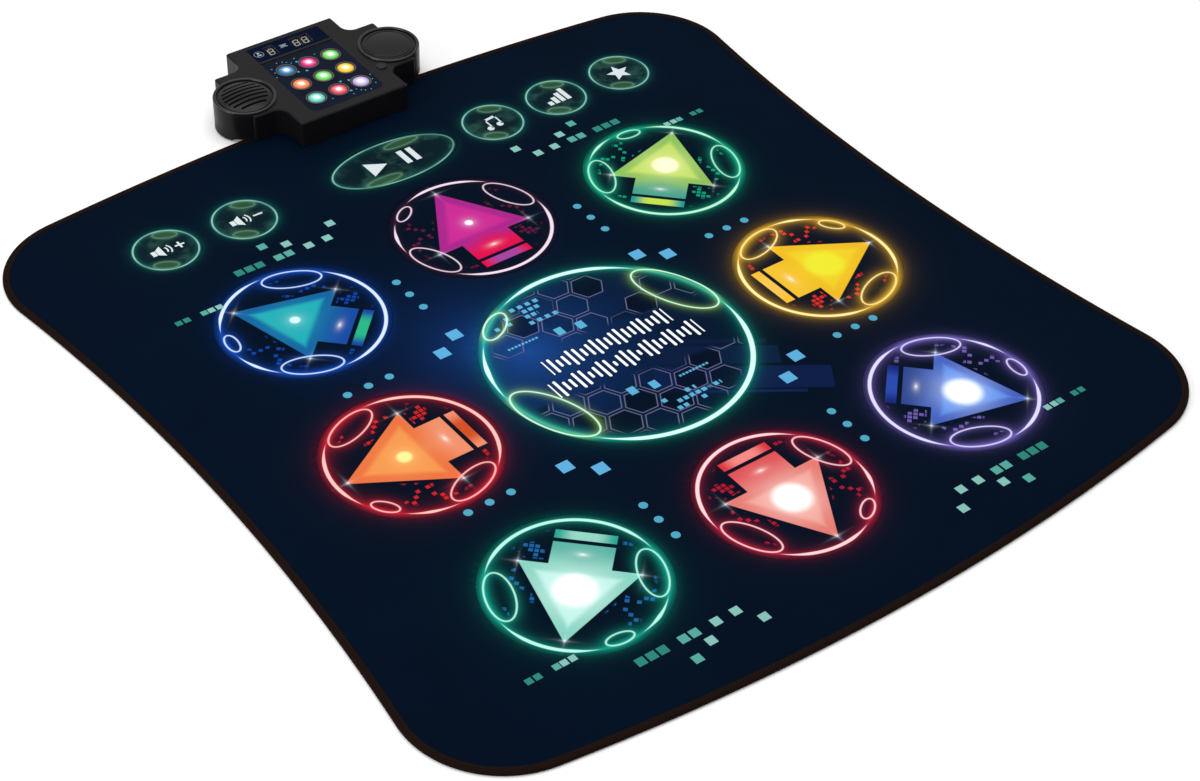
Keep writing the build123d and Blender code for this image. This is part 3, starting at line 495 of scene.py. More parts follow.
def slanting_beams(spot, colour):
    """Dark blue bars that leave the middle ring: bands across one turned axis, cut off at both ends."""
    turned = seen_from(spot, field, np.radians(BEAM_TURN))
    along, over = sides_of(turned)
    for low, high, start, stop, shade in BEAMS:
        band = smallest(over - low, high - over, along - start, stop - along)
        colour = lay(colour, shade, step_up(band, -0.4 * MM, 0.6 * MM) * 0.85)
    return colour


def spill_of_light(places, ground):
    """Halos of all the rings, the beams and the patch of blue light."""
    spot = flat(places)
    from_patch = distance_from(spot, field[0] - 0.095, field[1] + 0.075)
    colour = lay(ground, (0.006, 0.040, 0.21), fade(from_patch, 0.042) * 0.9, "ADD")
    colour = slanting_beams(spot, colour)
    for name, look in ZONES.items():
        x, y = discs["step_pad_" + name][:2]
        away = distance_from(spot, x, y) - ARROW_RING
        colour = lay(colour, look["halo"], ring_glow(away, *look["glow"]), "ADD")
    away = distance_from(spot, *field) - MIDDLE_RING
    colour = lay(colour, MIDDLE_HALO, ring_glow(away, *MIDDLE_GLOW), "ADD")
    for name in button_names:
        x, y = discs["foot_button_" + name][:2]
        if name == "start":
            away = oval_distance(spot, (x, y), 0.0, *START_RING)
        else:
            away = distance_from(spot, x, y) - BUTTON_RING
        colour = lay(colour, BUTTON_HALO, ring_glow(away, 1.1, 3.6), "ADD")
    return colour


cloth_print = printed_cloth("cloth_print", spill_of_light)
print("cloth nodes", len(cloth_print.node_tree.nodes))

# %% [markdown]
# ## The light-tube ring
#
# One ring motif serves all nine zones. The big ring is drawn as three arcs that swell in their middles, and
# between them three small ovals lie against it from inside. Its line's width is a function of the direction
# from the middle: full width, brought down to nothing near each oval.

# %% Drawing a ring
# each oval's direction in degrees, then its distance from the middle and half axes in ring radii
OVALS = ((128.0, 0.928, 0.169, 0.078), (23.0, 0.845, 0.373, 0.163), (201.0, 0.845, 0.373, 0.163))


def light_tube(spot, colour, radius, look, thick=1.7, outward=0.0):
    """Ring of three swelling arcs with three ovals inside it, laid over a colour with its glow."""
    line = abs(length_of(spot) - radius)
    heading = reckon_vector("NORMALIZE", spot)
    swell, cover, inner = None, None, None
    for turn, reach, half_long, half_short in OVALS:
        angle = np.radians(turn)
        way = (float(np.cos(angle)), float(np.sin(angle)), 0.0)
        gap = half_long * 0.92
        facing = reckon_vector("DOT_PRODUCT", heading, way, out=1)
        clear = step_up(facing, float(np.cos(gap * 0.82)), float(np.cos(gap + 0.42)))
        out = reach + outward
        centre = (way[0] * radius * out, way[1] * radius * out)
        oval = abs(oval_distance(spot, centre, angle + np.pi / 2, half_long * radius, half_short * radius))
        thin = step_up(oval, 1.30 * MM, 0.35 * MM) * 0.85
        glow = fade(oval, look["glow"][1] * TIGHT * MM)
        swell = clear if swell is None else swell * clear
        cover = thin if cover is None else largest(cover, thin)
        inner = glow if inner is None else inner + glow
    half = swell * (thick * MM)
    core = step_up(line - half, 0.45 * MM, -0.45 * MM) * step_up(swell, 0.02, 0.18)
    colour = lay(colour, look["halo"], ring_glow(line, *look["glow"]), "ADD")
    colour = lay(colour, look.get("inner", look["halo"]), inner * (0.7 * look["glow"][0]), "ADD")
    return lay(colour, look["ring"], largest(core, cover))


# %% [markdown]
# ## The arrows
#
# An arrow is a triangle, a stem and a loose bar behind it. Each is the set of points on the inner side of a
# few straight lines, so its distance inside is the smallest of the distances to those lines. The same
# number then shades it: a darker rim, a paler heart and a round lit spot.

# %% Drawing an arrow
TIP, BASE, HALF_HEAD, HALF_STEM = 69.0 * MM, -20.0 * MM, 53.0 * MM, 27.0 * MM
STEM_END, BAR_NEAR, BAR_FAR = -47.5 * MM, -52.0 * MM, -62.3 * MM
STAR_REACH = 1.6 * MM
SLANT = np.array([TIP - BASE, HALF_HEAD]) / np.hypot(TIP - BASE, HALF_HEAD)


def star(spot, x, y):
    """Little four-pointed gleam: a round glow and two thin crossed rays."""
    across, up = sides_of(seen_from(spot, (x, y)))
    across, up = abs(across), abs(up)
    round_part = fade(across + up, STAR_REACH)
    rays = fade(across * 0.32 + up * 2.2, 1.8 * MM) + fade(across * 2.2 + up * 0.32, 1.8 * MM)
    return round_part + rays * 0.35


def confetti(spot, inside, away):
    """Small squares scattered between arrow and ring: a grid whose cells are kept by chance."""
    cell = 5.2 * MM
    scaled = reckon_vector("SCALE", spot, scale=1.0 / cell)
    whole = reckon_vector("FLOOR", scaled)
    chance = tree_of(spot).nodes.new("ShaderNodeTexWhiteNoise")
    chance.noise_dimensions = "2D"
    tree_of(spot).links.new(whole, chance.inputs["Vector"])
    x, y = sides_of(reckon_vector("SUBTRACT", reckon_vector("FRACTION", scaled), (0.5, 0.5, 0.0)))
    square = step_up(largest(abs(x), abs(y)), 0.42, 0.34)
    kept = step_up(Ink(chance.outputs["Value"]), 0.70, 0.72)
    clump = step_up(noise_of(spot, 30 * MM, 0.0), 0.50, 0.56)
    room = step_up(inside, -3.0 * MM, -5.0 * MM) * step_up(away, ARROW_RING * 0.90, ARROW_RING * 0.84)
    return square * kept * clump * room


def draw_arrow_pad(name):
    """Drawing function of one arrow pad."""
    look = ZONES[name]
    x, y = discs["step_pad_" + name][:2]

    def draw(places, ground):
        spot = seen_from(flat(places), (x, y), np.radians(look["way"] - 90.0))
        side, up = sides_of(spot)
        side = abs(side)
        head = smallest(up - BASE, (TIP - up) * float(SLANT[1]) - side * float(SLANT[0]))
        stem = smallest(HALF_STEM - side, up - STEM_END, -up)
        bar = smallest(HALF_STEM - side, BAR_NEAR - up, up - BAR_FAR)
        body = largest(head, stem)
        bits = confetti(spot, largest(body, bar), length_of(spot))
        colour = lay(ground, look.get("bits", look["halo"]), bits)
        shade = lay(look["edge"], look["heart"], step_up(head, 6.0 * MM, 13.0 * MM))
        shade = lay(shade, look["tail"], step_up(up + side * 0.35, -6.0 * MM, -34.0 * MM))
        lit = distance_from(spot, 0.0, 8.0 * MM)
        size = look["spot_size"] * MM
        shade = lay(shade, look["heart"], fade(lit, size + 12.0 * MM) * 0.75)
        shade = lay(shade, look["spot"], fade(lit, size * 0.75) * 0.75)
        shade = lay(shade, look["spot"], step_up(lit, size * 1.12, size * 0.62))
        gleam = length_of(seen_from(spot, (0.0, -35.0 * MM), 0.0, (2.2, 1.0, 1.0)))
        shade = lay(shade, (1.0, 0.97, 0.95), fade(gleam, 1.5 * MM) * 0.9)
        bar_shade = lay(look["tail"], look["bar"], step_up(side, 26.0 * MM, 8.0 * MM))
        for shape, own in ((body, shade), (bar, bar_shade)):
            colour = lay(colour, own, step_up(shape, -0.35 * MM, 0.35 * MM))
        colour = light_tube(spot, colour, ARROW_RING, look)
        shine = star(spot, 0.0, TIP - 2.0 * MM)
        for corner in (-HALF_HEAD, HALF_HEAD):
            shine = shine + star(spot, corner, BASE + 1.0 * MM)
        return lay(colour, (0.80, 0.90, 1.0), shine * 0.6)

    return draw


arrow_prints = {name: printed_cloth("print_" + name, draw_arrow_pad(name)) for name in ZONES}
print("nodes in one arrow print", len(arrow_prints["far"].node_tree.nodes))

# %% [markdown]
# ## The middle pad
#
# The middle zone is a dark blue globe behind a thin honeycomb, with a few bright squares. Where a name would
# be, this mat has two rows of sound bars, which say rhythm without any words.


# %% Drawing the middle pad
def honeycomb(spot, cell):
    """Distance to the wall of the nearest cell and a chance from 0 to 1 for that cell. The cells' middles
    are two staggered grids: whichever grid's middle is nearer, seen through its walls, owns the point."""
    tall = float(np.sqrt(3.0))
    scaled = reckon_vector("SCALE", spot, scale=1.0 / cell)
    period = (1.0, tall, 1.0)
    half = (0.5, tall / 2, 0.0)
    walls, offsets = [], []
    for start in (scaled, reckon_vector("SUBTRACT", scaled, half)):
        offset = reckon_vector("SUBTRACT", reckon_vector("WRAP", start, period, (0.0, 0.0, 0.0)), half)
        x, y = sides_of(reckon_vector("ABSOLUTE", offset))
        walls.append(0.5 - largest(x, x * 0.5 + y * (tall / 2)))
        offsets.append(offset)
    tree = tree_of(spot)
    pick = tree.nodes.new("ShaderNodeMix")
    pick.data_type = "VECTOR"
    put(tree, reckon("GREATER_THAN", walls[1], walls[0]), pick.inputs[0])
    tree.links.new(offsets[0], pick.inputs[4])
    tree.links.new(offsets[1], pick.inputs[5])
    middle = reckon_vector("SNAP", reckon_vector("SUBTRACT", scaled, pick.outputs[1]), (0.25, 0.25, 9.0))
    chance = tree.nodes.new("ShaderNodeTexWhiteNoise")
    chance.noise_dimensions = "2D"
    tree.links.new(reckon_vector("ADD", middle, (0.1, 0.1, 0.0)), chance.inputs["Vector"])
    return largest(*walls) * cell, Ink(chance.outputs["Value"])


BAR_PITCH, BAR_HALF = 7.0 * MM, 1.5 * MM
# foot and head of each row of sound bars, half its length, and where its waves start
BAR_ROWS = ((4.0 * MM, 28.0 * MM, 70.0 * MM, 0.4), (-26.0 * MM, -2.0 * MM, 84.0 * MM, 1.7))


def sound_bars(x, y, low, high, phase):
    """Row of upright bars with round ends, as tall as a few waves added together say."""
    number = reckon("FLOOR", x / BAR_PITCH + 0.5)
    beside = x - number * BAR_PITCH
    wave = abs(reckon("SINE", number * 0.83 + phase)) * 0.6 + abs(reckon("SINE", number * 2.31 + phase)) * 0.4
    reach = wave * ((high - low) / 2 - BAR_HALF) + BAR_HALF * 0.6
    over = largest(abs(y - (low + high) / 2) - reach, 0.0)
    return BAR_HALF - reckon("SQRT", beside * beside + over * over)


def draw_middle(places, ground):
    """Globe, honeycomb, squares, sound bars and ring of the middle pad."""
    spot = seen_from(flat(places), field)
    away = length_of(spot)
    x, y = sides_of(spot)
    glow_from_left = fade(distance_from(spot, -0.070, 0.045), 0.058)
    colour = lay(ground, (0.010, 0.060, 0.27), glow_from_left * 0.85, "ADD")
    colour = slanting_beams(flat(places), colour)
    wall, chance = honeycomb(seen_from(spot, (3.0 * MM, 12.0 * MM), 0.5), 33.0 * MM)
    bands = step_up(abs(y + x * 0.12), 34.0 * MM, 44.0 * MM)
    bands = bands * step_up(away, MIDDLE_RING * 0.95, MIDDLE_RING * 0.90)
    kept = step_up(chance, 0.22, 0.24) * bands
    filled = step_up(wall, 1.6 * MM, 2.2 * MM) * kept * step_up(chance, 0.5, 0.52)
    lines = step_up(abs(wall - 1.9 * MM), 0.75 * MM, 0.25 * MM) * kept
    colour = lay(colour, (0.0010, 0.0028, 0.0085), filled * 0.75)
    colour = lay(colour, (0.15, 0.15, 0.27), lines * 0.8)
    for row, row_pitch, half, left, right, share in SQUARE_ROWS:
        beside, over = sides_of(seen_from(spot, (left, row)))
        number = reckon("ROUND", beside / row_pitch)
        near = largest(abs(beside - number * row_pitch), abs(over)) - half
        lot = reckon("FRACT", reckon("SINE", number * 12.9 + row * 900.0) * 437.5)
        kept = step_up(lot, 1.0 - share, 1.02 - share)
        span = step_up(smallest(beside + half, right - x), -0.2 * MM, 0.2 * MM)
        colour = lay(colour, (0.10, 0.42, 0.66), step_up(near, 0.3 * MM, -0.3 * MM) * kept * span * 0.9)
    for low, high, half_row, phase in BAR_ROWS:
        bars = smallest(sound_bars(x, y, low, high, phase), x + half_row, half_row - x)
        colour = lay(colour, (0.0008, 0.002, 0.006), step_up(bars, -1.6 * MM, -0.6 * MM) * 0.7)
        colour = lay(colour, (0.86, 0.90, 0.95), step_up(bars, -0.3 * MM, 0.3 * MM))
    look = dict(ring=(0.62, 0.96, 0.84), halo=MIDDLE_HALO, glow=MIDDLE_GLOW, inner=(0.22, 0.42, 0.06))
    return light_tube(spot, colour, MIDDLE_RING, look, thick=2.4, outward=0.026)


# height of the row, pitch and half side of its squares, its left and right end, share of squares kept
SQUARE_ROWS = tuple(
    tuple(number * MM for number in row[:5]) + (row[5],)
    for row in (
        (105.0, 9.0, 2.5, -56.0, -8.0, 0.6), (97.0, 7.0, 2.4, -66.0, -14.0, 0.6),
        (89.0, 7.0, 2.4, -75.0, -28.0, 0.6), (79.0, 9.0, 2.5, -42.0, -10.0, 0.7),
        (58.5, 3.9, 1.3, -83.0, -50.0, 1.1), (54.0, 9.0, 5.3, -27.0, -24.0, 1.1),
        (50.5, 9.0, 5.3, -5.0, -2.0, 1.1), (-54.0, 9.0, 5.3, -24.0, -21.0, 1.1),
        (-58.5, 9.0, 5.3, -2.0, 1.0, 1.1), (-62.5, 3.9, 1.3, 24.0, 57.0, 1.1),
        (-82.0, 9.0, 2.5, -10.0, 26.0, 0.7), (-90.0, 7.0, 2.4, 2.0, 50.0, 0.6),
        (-98.0, 7.0, 2.4, -4.0, 42.0, 0.6), (-107.0, 9.0, 2.5, -14.0, 26.0, 0.6),
    )
)
middle_print = printed_cloth("print_middle", draw_middle)
print("nodes in the middle print", len(middle_print.node_tree.nodes))


# %% [markdown]
# ## Foot buttons
#
# Along the far edge are six small buttons, printed as cloudy green discs in thin rings. Their words are left
# out: small ink pictures say the same things, and come further on as pieces of their own.


# %% Drawing a foot button
def draw_foot_button(name):
    """Drawing function of one round or oval foot button."""
    x, y = discs["foot_button_" + name][:2]
    oval = name == "start"
    rings = START_RING if oval else (BUTTON_RING, BUTTON_RING)

    def draw(places, ground):
        spot = seen_from(flat(places), (x, y))
        inside = oval_distance(spot, (0.0, 0.0), 0.0, *rings)
        cloud = noise_of(places, 26 * MM, 3.0, 0.6)
        disc = step_up(inside, 0.5 * MM, -1.5 * MM)
        colour = lay(ground, (0.003, 0.012, 0.018), disc * 0.9)
        colour = lay(colour, (0.020, 0.070, 0.055), disc * step_up(cloud, 0.46, 0.72) * 0.8)
        colour = lay(colour, BUTTON_HALO, ring_glow(abs(inside), 1.0, 3.2), "ADD")
        bright = step_up(noise_of(spot, 34 * MM, 0.0), 0.30, 0.62)
        core = step_up(abs(inside), 1.2 * MM, 0.4 * MM)
        colour = lay(colour, (0.26, 0.52, 0.42), core * (0.35 + bright * 0.6))
        for turn in (64.0, -118.0):
            way = np.radians(turn)
            centre = (rings[0] * 0.78 * np.cos(way), rings[1] * 0.78 * np.sin(way))
            size = (20.0 * MM, 5.4 * MM) if oval else (12.0 * MM, 5.6 * MM)
            lump = oval_distance(spot, centre, 0.0 if oval else way + np.pi / 2, *size)
            colour = lay(colour, (0.030, 0.085, 0.035), step_up(lump, 1.0 * MM, -5.0 * MM) * 0.8)
            colour = lay(colour, (0.12, 0.30, 0.18), fade(abs(lump), 1.3 * MM) * 0.7)
        return colour

    return draw


button_prints = {name: printed_cloth("print_" + name, draw_foot_button(name)) for name in button_names}
print("button prints", len(button_prints))

# %% [markdown]
# ## The outline of the mat
#
# The mat is a rounded square whose near and far edges bow out and whose sides curve in. Eight arcs run into
# each other without a kink. Each is given by its middle, its radius and the two directions between which it
# runs, so any number of points and their outward directions come from one formula.

# %% Outline
mat_low, mat_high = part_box("edge_binding")
CORNER = 95.0 * MM
NEAR_BOW, FAR_BOW = 2.220, 2.840
SIDE_HOLLOW = 23.0 * MM
tape_high = mat_high.z
half_width = (mat_high.x - mat_low.x) / 2
corner_x = half_width - CORNER
far_middle = mat_high.y - FAR_BOW
near_middle = mat_low.y + NEAR_BOW
far_corner = far_middle + np.sqrt((FAR_BOW - CORNER) ** 2 - corner_x**2)
near_corner = near_middle - np.sqrt((NEAR_BOW - CORNER) ** 2 - corner_x**2)
half_span = (far_corner - near_corner) / 2
to_waist = half_width - SIDE_HOLLOW - corner_x
side_radius = (to_waist**2 + half_span**2 - CORNER**2) / (2 * (CORNER - to_waist))
side_x = half_width - SIDE_HOLLOW + side_radius
side_y = (far_corner + near_corner) / 2


def arc(middle, radius, start, stop, spacing):
    """Points and outward directions along an arc; a hollow arc has its outward side towards its middle."""
    count = max(3, int(abs(radius * (stop - start)) / spacing))
    angle = np.linspace(start, stop, count, endpoint=False)
    way = np.stack([np.cos(angle), np.sin(angle)], -1)
    return np.array(middle) + radius * way, way


def mat_outline(spacing):
    """Whole outline, anticlockwise from the right end of the near edge, with its outward directions."""
    far_turn = np.arctan2(far_corner - far_middle, corner_x)
    near_turn = np.arctan2(near_corner - near_middle, corner_x)
    right_far = np.arctan2(side_y - far_corner, side_x - corner_x)
    right_near = np.arctan2(side_y - near_corner, side_x - corner_x)
    parts = [
        arc((corner_x, near_corner), CORNER, near_turn, right_near, spacing),
        arc((side_x, side_y), side_radius, np.pi + right_near, np.pi + right_far, spacing),
        arc((corner_x, far_corner), CORNER, right_far, far_turn, spacing),
        arc((0.0, far_middle), FAR_BOW, far_turn, np.pi - far_turn, spacing),
        arc((-corner_x, far_corner), CORNER, np.pi - far_turn, np.pi - right_far, spacing),
        arc((-side_x, side_y), side_radius, -right_far, -right_near, spacing),
        arc((-corner_x, near_corner), CORNER, np.pi - right_near, np.pi - near_turn, spacing),
        arc((0.0, near_middle), NEAR_BOW, np.pi - near_turn, 2 * np.pi + near_turn, spacing),
    ]
    points = np.concatenate([p for p, _ in parts])
    hollow = (1, 5)
    outward = np.concatenate([-w if i in hollow else w for i, (_, w) in enumerate(parts)])
    return points, outward


OUTLINE_STEP = 4.0 * MM
edge_points, edge_outward = mat_outline(OUTLINE_STEP)
steps = np.linalg.norm(np.roll(edge_points, -1, 0) - edge_points, axis=1)
edge_length = float(steps.sum())
print("outline", len(edge_points), "points", round(edge_length, 3), "m long")

# %% [markdown]
# ## How the cloth lies
#
# A foam mat that has been unfolded never lies dead flat: it has shallow rises a hand wide. They fade out
# where the console clamps it and at its taped edge. The height is a sum of a few long waves, and every soft
# piece asks the same function, so pads, ink and cloth stay together.


# %% Height of the cloth
WAVE = 0.11 * MM
END_MARGIN, EDGE_FADE = 30 * MM, 50 * MM
CONSOLE_REACH, CONSOLE_HALF, CONSOLE_FADE = 165 * MM, 160 * MM, 90 * MM


def cloth_height(x, y):
    """Rise over the flat cloth: three long waves added, never under zero, faded at the edge and console."""
    waves = np.sin(x * 21.0 + 1.3 * np.sin(y * 9.0)) + np.sin(y * 17.0 + x * 8.0 + 0.7)
    waves = waves + np.sin(x * 11.0 - y * 23.0 + 2.0)
    rise = WAVE * (waves + 3.0)
    from_side = half_width - SIDE_HOLLOW - np.abs(x)
    from_ends = np.minimum(mat_high.y - y, y - mat_low.y) - END_MARGIN
    from_console = np.maximum(mat_high.y - CONSOLE_REACH - y, np.abs(x) - CONSOLE_HALF)
    edge = np.clip(np.minimum(from_side, from_ends) / EDGE_FADE, 0.0, 1.0)
    console = np.clip(from_console / CONSOLE_FADE, 0.0, 1.0)
    return rise * edge**2 * (3 - 2 * edge) * console**2 * (3 - 2 * console)


# %% [markdown]
# ## The top cloth
#
# The sheet has fifteen openings, one for each pad and button. Its points are a plain grid with the points of
# every opening and of the edge added; a Delaunay triangulation joins them so that each opening keeps a
# smooth rim. Solidify then gives the sheet its real thickness.

# %% Make the top cloth
CLOTH = 0.6 * MM
RIM_STEP = 3.4 * MM


def rim_of(node, grow, count):
    """Points round a disc's edge: an oval with the disc's own half width and depth."""
    x, y, across_half, deep_half = discs[node]
    angle = np.linspace(0.0, 2 * np.pi, count, endpoint=False)
    return np.stack([x + (across_half + grow) * np.cos(angle), y + (deep_half + grow) * np.sin(angle)], -1)


def inside_disc(points, node, grow):
    """True for points within a disc's edge."""
    x, y, across_half, deep_half = discs[node]
    beside = (points[:, 0] - x) / (across_half + grow)
    above_it = (points[:, 1] - y) / (deep_half + grow)
    return beside**2 + above_it**2 < 1.0


def inside_loop(points, loop):
    """Even-odd test of points against a closed loop, all at once."""
    ahead_of = np.roll(loop, -1, 0)
    x, y = points[:, 0, None], points[:, 1, None]
    crosses = (loop[:, 1] > y) != (ahead_of[:, 1] > y)
    rise = np.where(ahead_of[:, 1] == loop[:, 1], 1e-12, ahead_of[:, 1] - loop[:, 1])
    at = (ahead_of[:, 0] - loop[:, 0]) * (y - loop[:, 1]) / rise + loop[:, 0]
    return (np.sum(crosses & (x < at), axis=1) % 2) == 1


def make_top_cloth(spacing=7.0 * MM, opening=0.15 * MM):
    """Flat triangulation of the cloth with its openings, lifted by cloth_height."""
    loops = [edge_points[::2] - edge_outward[::2] * 1.0 * MM]
    for node, (_, _, across_half, _) in discs.items():
        loops.append(rim_of(node, opening, int(2 * np.pi * across_half / RIM_STEP)))
    xs = np.arange(mat_low.x, mat_high.x, spacing)
    ys = np.arange(mat_low.y, mat_high.y, spacing)
    grid = np.stack(np.meshgrid(xs, ys, indexing="ij"), -1).reshape(-1, 2)
    kept = inside_loop(grid, edge_points[::8] - edge_outward[::8] * 4.0 * MM)
    for node in discs:
        kept &= ~inside_disc(grid, node, 2.5 * MM)
    places = [grid[kept], *loops]
    starts = np.cumsum([0] + [len(p) for p in places])
    edges = [
        (int(start + i), int(start + (i + 1) % len(loop)))
        for start, loop in zip(starts[1:], loops)
        for i in range(len(loop))
    ]
    found = delaunay_2d_cdt([Vector(p) for p in np.concatenate(places)], edges, [], 0, 1e-7)
    points = np.array([tuple(p) for p in found[0]])
    triangles = np.array(found[2])
    centres = points[triangles].mean(1)
    good = inside_loop(centres, loops[0])
    for node in discs:
        good &= ~inside_disc(centres, node, opening)
    triangles = triangles[good]
    a, b, c = points[triangles].swapaxes(0, 1)
    doubled = (b - a)[:, 0] * (c - a)[:, 1] - (b - a)[:, 1] * (c - a)[:, 0]
    triangles[doubled < 0] = triangles[doubled < 0][:, ::-1]
    heights = cloth_top + cloth_height(points[:, 0], points[:, 1])
    area = float(np.abs(doubled).sum() / 2)
    return np.column_stack([points, heights]), triangles, area


cloth_points, cloth_faces, cloth_area = make_top_cloth()
top_cloth = new_piece("printed_top_cloth", cloth_points, cloth_faces, cloth_print)
thicken = top_cloth.modifiers.new("thickness", "SOLIDIFY")
thicken.thickness = CLOTH
thicken.offset = -1.0
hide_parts("top_cloth")
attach(top_cloth, "mat_and_console")
print("top cloth", len(cloth_faces), "triangles,", round(cloth_area, 4), "square metres")

# %% [markdown]
# ## Pads and foot buttons
#
# Each stepping zone is a disc of the same cloth that can sink a little. It is a profile carried round its
# middle: flat on top, a soft turn at the rim and a short skirt, so that no hole opens when it goes down.


# %% Make the discs
slot_of = {part["node"]: part["material_slot"] for part in frame["record"]["subparts"]}
DISC_DEPTH = 1.05


def make_disc(node, material, body):
    """Profile of radius and drop carried round an oval: the radius scales both half axes."""
    x, y, across_half, deep_half = discs[node]
    count = int(2 * np.pi * across_half / RIM_STEP)
    inner = np.linspace(0.0, 1.0, max(5, int(across_half / (9.0 * MM))))[1:] * (1.0 - 0.8 * MM / across_half)
    shoulder = 1.0 - np.array([0.45, 0.18, 0.02, 0.0, 0.0, 0.25]) * MM / deep_half
    radius = np.concatenate([inner, shoulder])
    drop = np.concatenate([np.zeros(len(inner)), np.array([0.03, 0.10, 0.28, 0.6, 1.0, DISC_DEPTH]) * MM])
    angle = np.linspace(0.0, 2 * np.pi, count, endpoint=False)
    px = x + across_half * radius[:, None] * np.cos(angle)
    py = y + deep_half * radius[:, None] * np.sin(angle)
    pz = cloth_top + cloth_height(px, py) - drop[:, None]
    points = np.stack([px, py, pz], -1).reshape(-1, 3)
    middle = np.array([[x, y, cloth_top + float(cloth_height(x, y))]])
    under = np.array([[x, y, cloth_top - DISC_DEPTH * MM]])
    faces = grid_faces(len(radius), count, True)[:, ::-1].tolist()
    first, last = len(points), len(points) + 1
    start = (len(radius) - 1) * count
    ring = np.arange(count)
    faces += np.stack([np.full(count, first), ring, (ring + 1) % count], -1).tolist()
    faces += np.stack([np.full(count, last), start + (ring + 1) % count, start + ring], -1).tolist()
    piece = new_piece(body + "_cloth", np.concatenate([points, middle, under]), faces, material)
    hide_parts(node)
    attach(piece, body)
    return piece


for node in discs:
    name = node.replace("step_pad_", "").replace("foot_button_", "")
    if node == "step_pad_middle":
        finish = middle_print
    elif node.startswith("step_pad_"):
        finish = arrow_prints[name]
    else:
        finish = button_prints[name]
    make_disc(node, finish, node)

# %% [markdown]
# ## The taped edge
#
# A woven tape is folded over the mat's edge and sewn through. It is one C-shaped profile carried along the
# outline: each point of the profile is moved outward by its own amount and keeps its own height. The tape
# is pressed down a little along the seam, which gives the soft roll at the outer edge.

# %% Make the edge tape
TAPE = 0.5 * MM
TAPE_WIDTH = 7.0 * MM
SEAM_IN = 5.2 * MM
TAPE_SLANT = 0.785  # the tape's ribs cross it at about 45 degrees


def tape_profile():
    """Outward offset and height round the C: over the top, down the fold, back underneath, and inside."""
    top, mid = tape_high, tape_high / 2
    fold = np.linspace(np.pi / 2, -np.pi / 2, 9)
    outer = [(-TAPE_WIDTH, top - 0.42 * MM), (-6.7 * MM, top - 0.16 * MM), (-6.0 * MM, top - 0.10 * MM)]
    outer += [(-SEAM_IN, top - 0.26 * MM), (-4.3 * MM, top - 0.07 * MM), (-2.9 * MM, top - 0.01 * MM)]
    outer += list(zip(-1.5 * MM + 1.5 * MM * np.cos(fold), mid + mid * np.sin(fold) * 0.995))
    outer += [(-4.0 * MM, 0.02 * MM), (-TAPE_WIDTH, 0.03 * MM), (-TAPE_WIDTH, TAPE)]
    inner = list(zip(-1.6 * MM + 1.1 * MM * np.cos(-fold), mid + (mid - TAPE) * np.sin(-fold)))
    return np.array(outer + inner + [(-TAPE_WIDTH, top - TAPE - 0.02 * MM)])


def along_outline(profile, points, outward):
    """Profile carried along the outline, point by point, as a closed tube of quads."""
    plan = points[:, None] + outward[:, None] * profile[None, :, :1]
    height = np.broadcast_to(profile[None, :, 1:], (len(points), len(profile), 1))
    tube = np.concatenate([plan, height], -1)
    tube = np.concatenate([tube, tube[:1]])
    faces = grid_faces(len(tube), len(profile), True)
    faces[faces >= len(points) * len(profile)] -= len(points) * len(profile)
    return tube[:-1], faces


tape_points, tape_faces = along_outline(tape_profile(), edge_points, edge_outward)
tape_weave, tape_shader, tape_places = open_material("edge_tape")
tape_noise = noise_of(tape_places, 1.4 * MM, 4.0, 0.65)
tape_shade = lay((0.0060, 0.0028, 0.0020), (0.0150, 0.0068, 0.0046), tape_noise)
tape_rib = threads_of(seen_from(tape_places, (0.0, 0.0), TAPE_SLANT), 0.8 * MM)
# painted shade: the tape's colour is darkened in the hollows between its ribs
tape_colour = lay(tape_shade, (0.001, 0.0005, 0.0005), (1.0 - tape_rib) * 0.5)
paint(tape_shader, colour=tape_colour, rough=0.82, shine=0.03)
raise_from(tape_shader, tape_rib + tape_noise * 0.6, 0.5, 0.12 * MM)
edge_tape = new_piece("edge_tape", tape_points, tape_faces[:, ::-1], tape_weave)
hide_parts("edge_binding")
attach(edge_tape, "mat_and_console")
print("edge tape", len(tape_faces), "faces")

# %% [markdown]
# ## The seam
#
# A dark thread holds the tape. Each stitch is a tiny arched lozenge that dives into the tape at both ends.
# All of them are one array: the stitch's own points, turned and moved to its place on the outline.

# %% Make the stitches
STITCH_PITCH = 4.1 * MM
distance = np.concatenate([[0.0], np.cumsum(steps)])
closed_points = np.concatenate([edge_points, edge_points[:1]])
closed_outward = np.concatenate([edge_outward, edge_outward[:1]])
stitch_count = int(edge_length / STITCH_PITCH)
stitch_at = np.arange(stitch_count) * (edge_length / stitch_count)
stitch_middle = np.stack([np.interp(stitch_at, distance, closed_points[:, i]) for i in (0, 1)], -1)
stitch_out = np.stack([np.interp(stitch_at, distance, closed_outward[:, i]) for i in (0, 1)], -1)
stitch_out /= np.linalg.norm(stitch_out, axis=1)[:, None]
stitch_along = np.stack([-stitch_out[:, 1], stitch_out[:, 0]], -1)


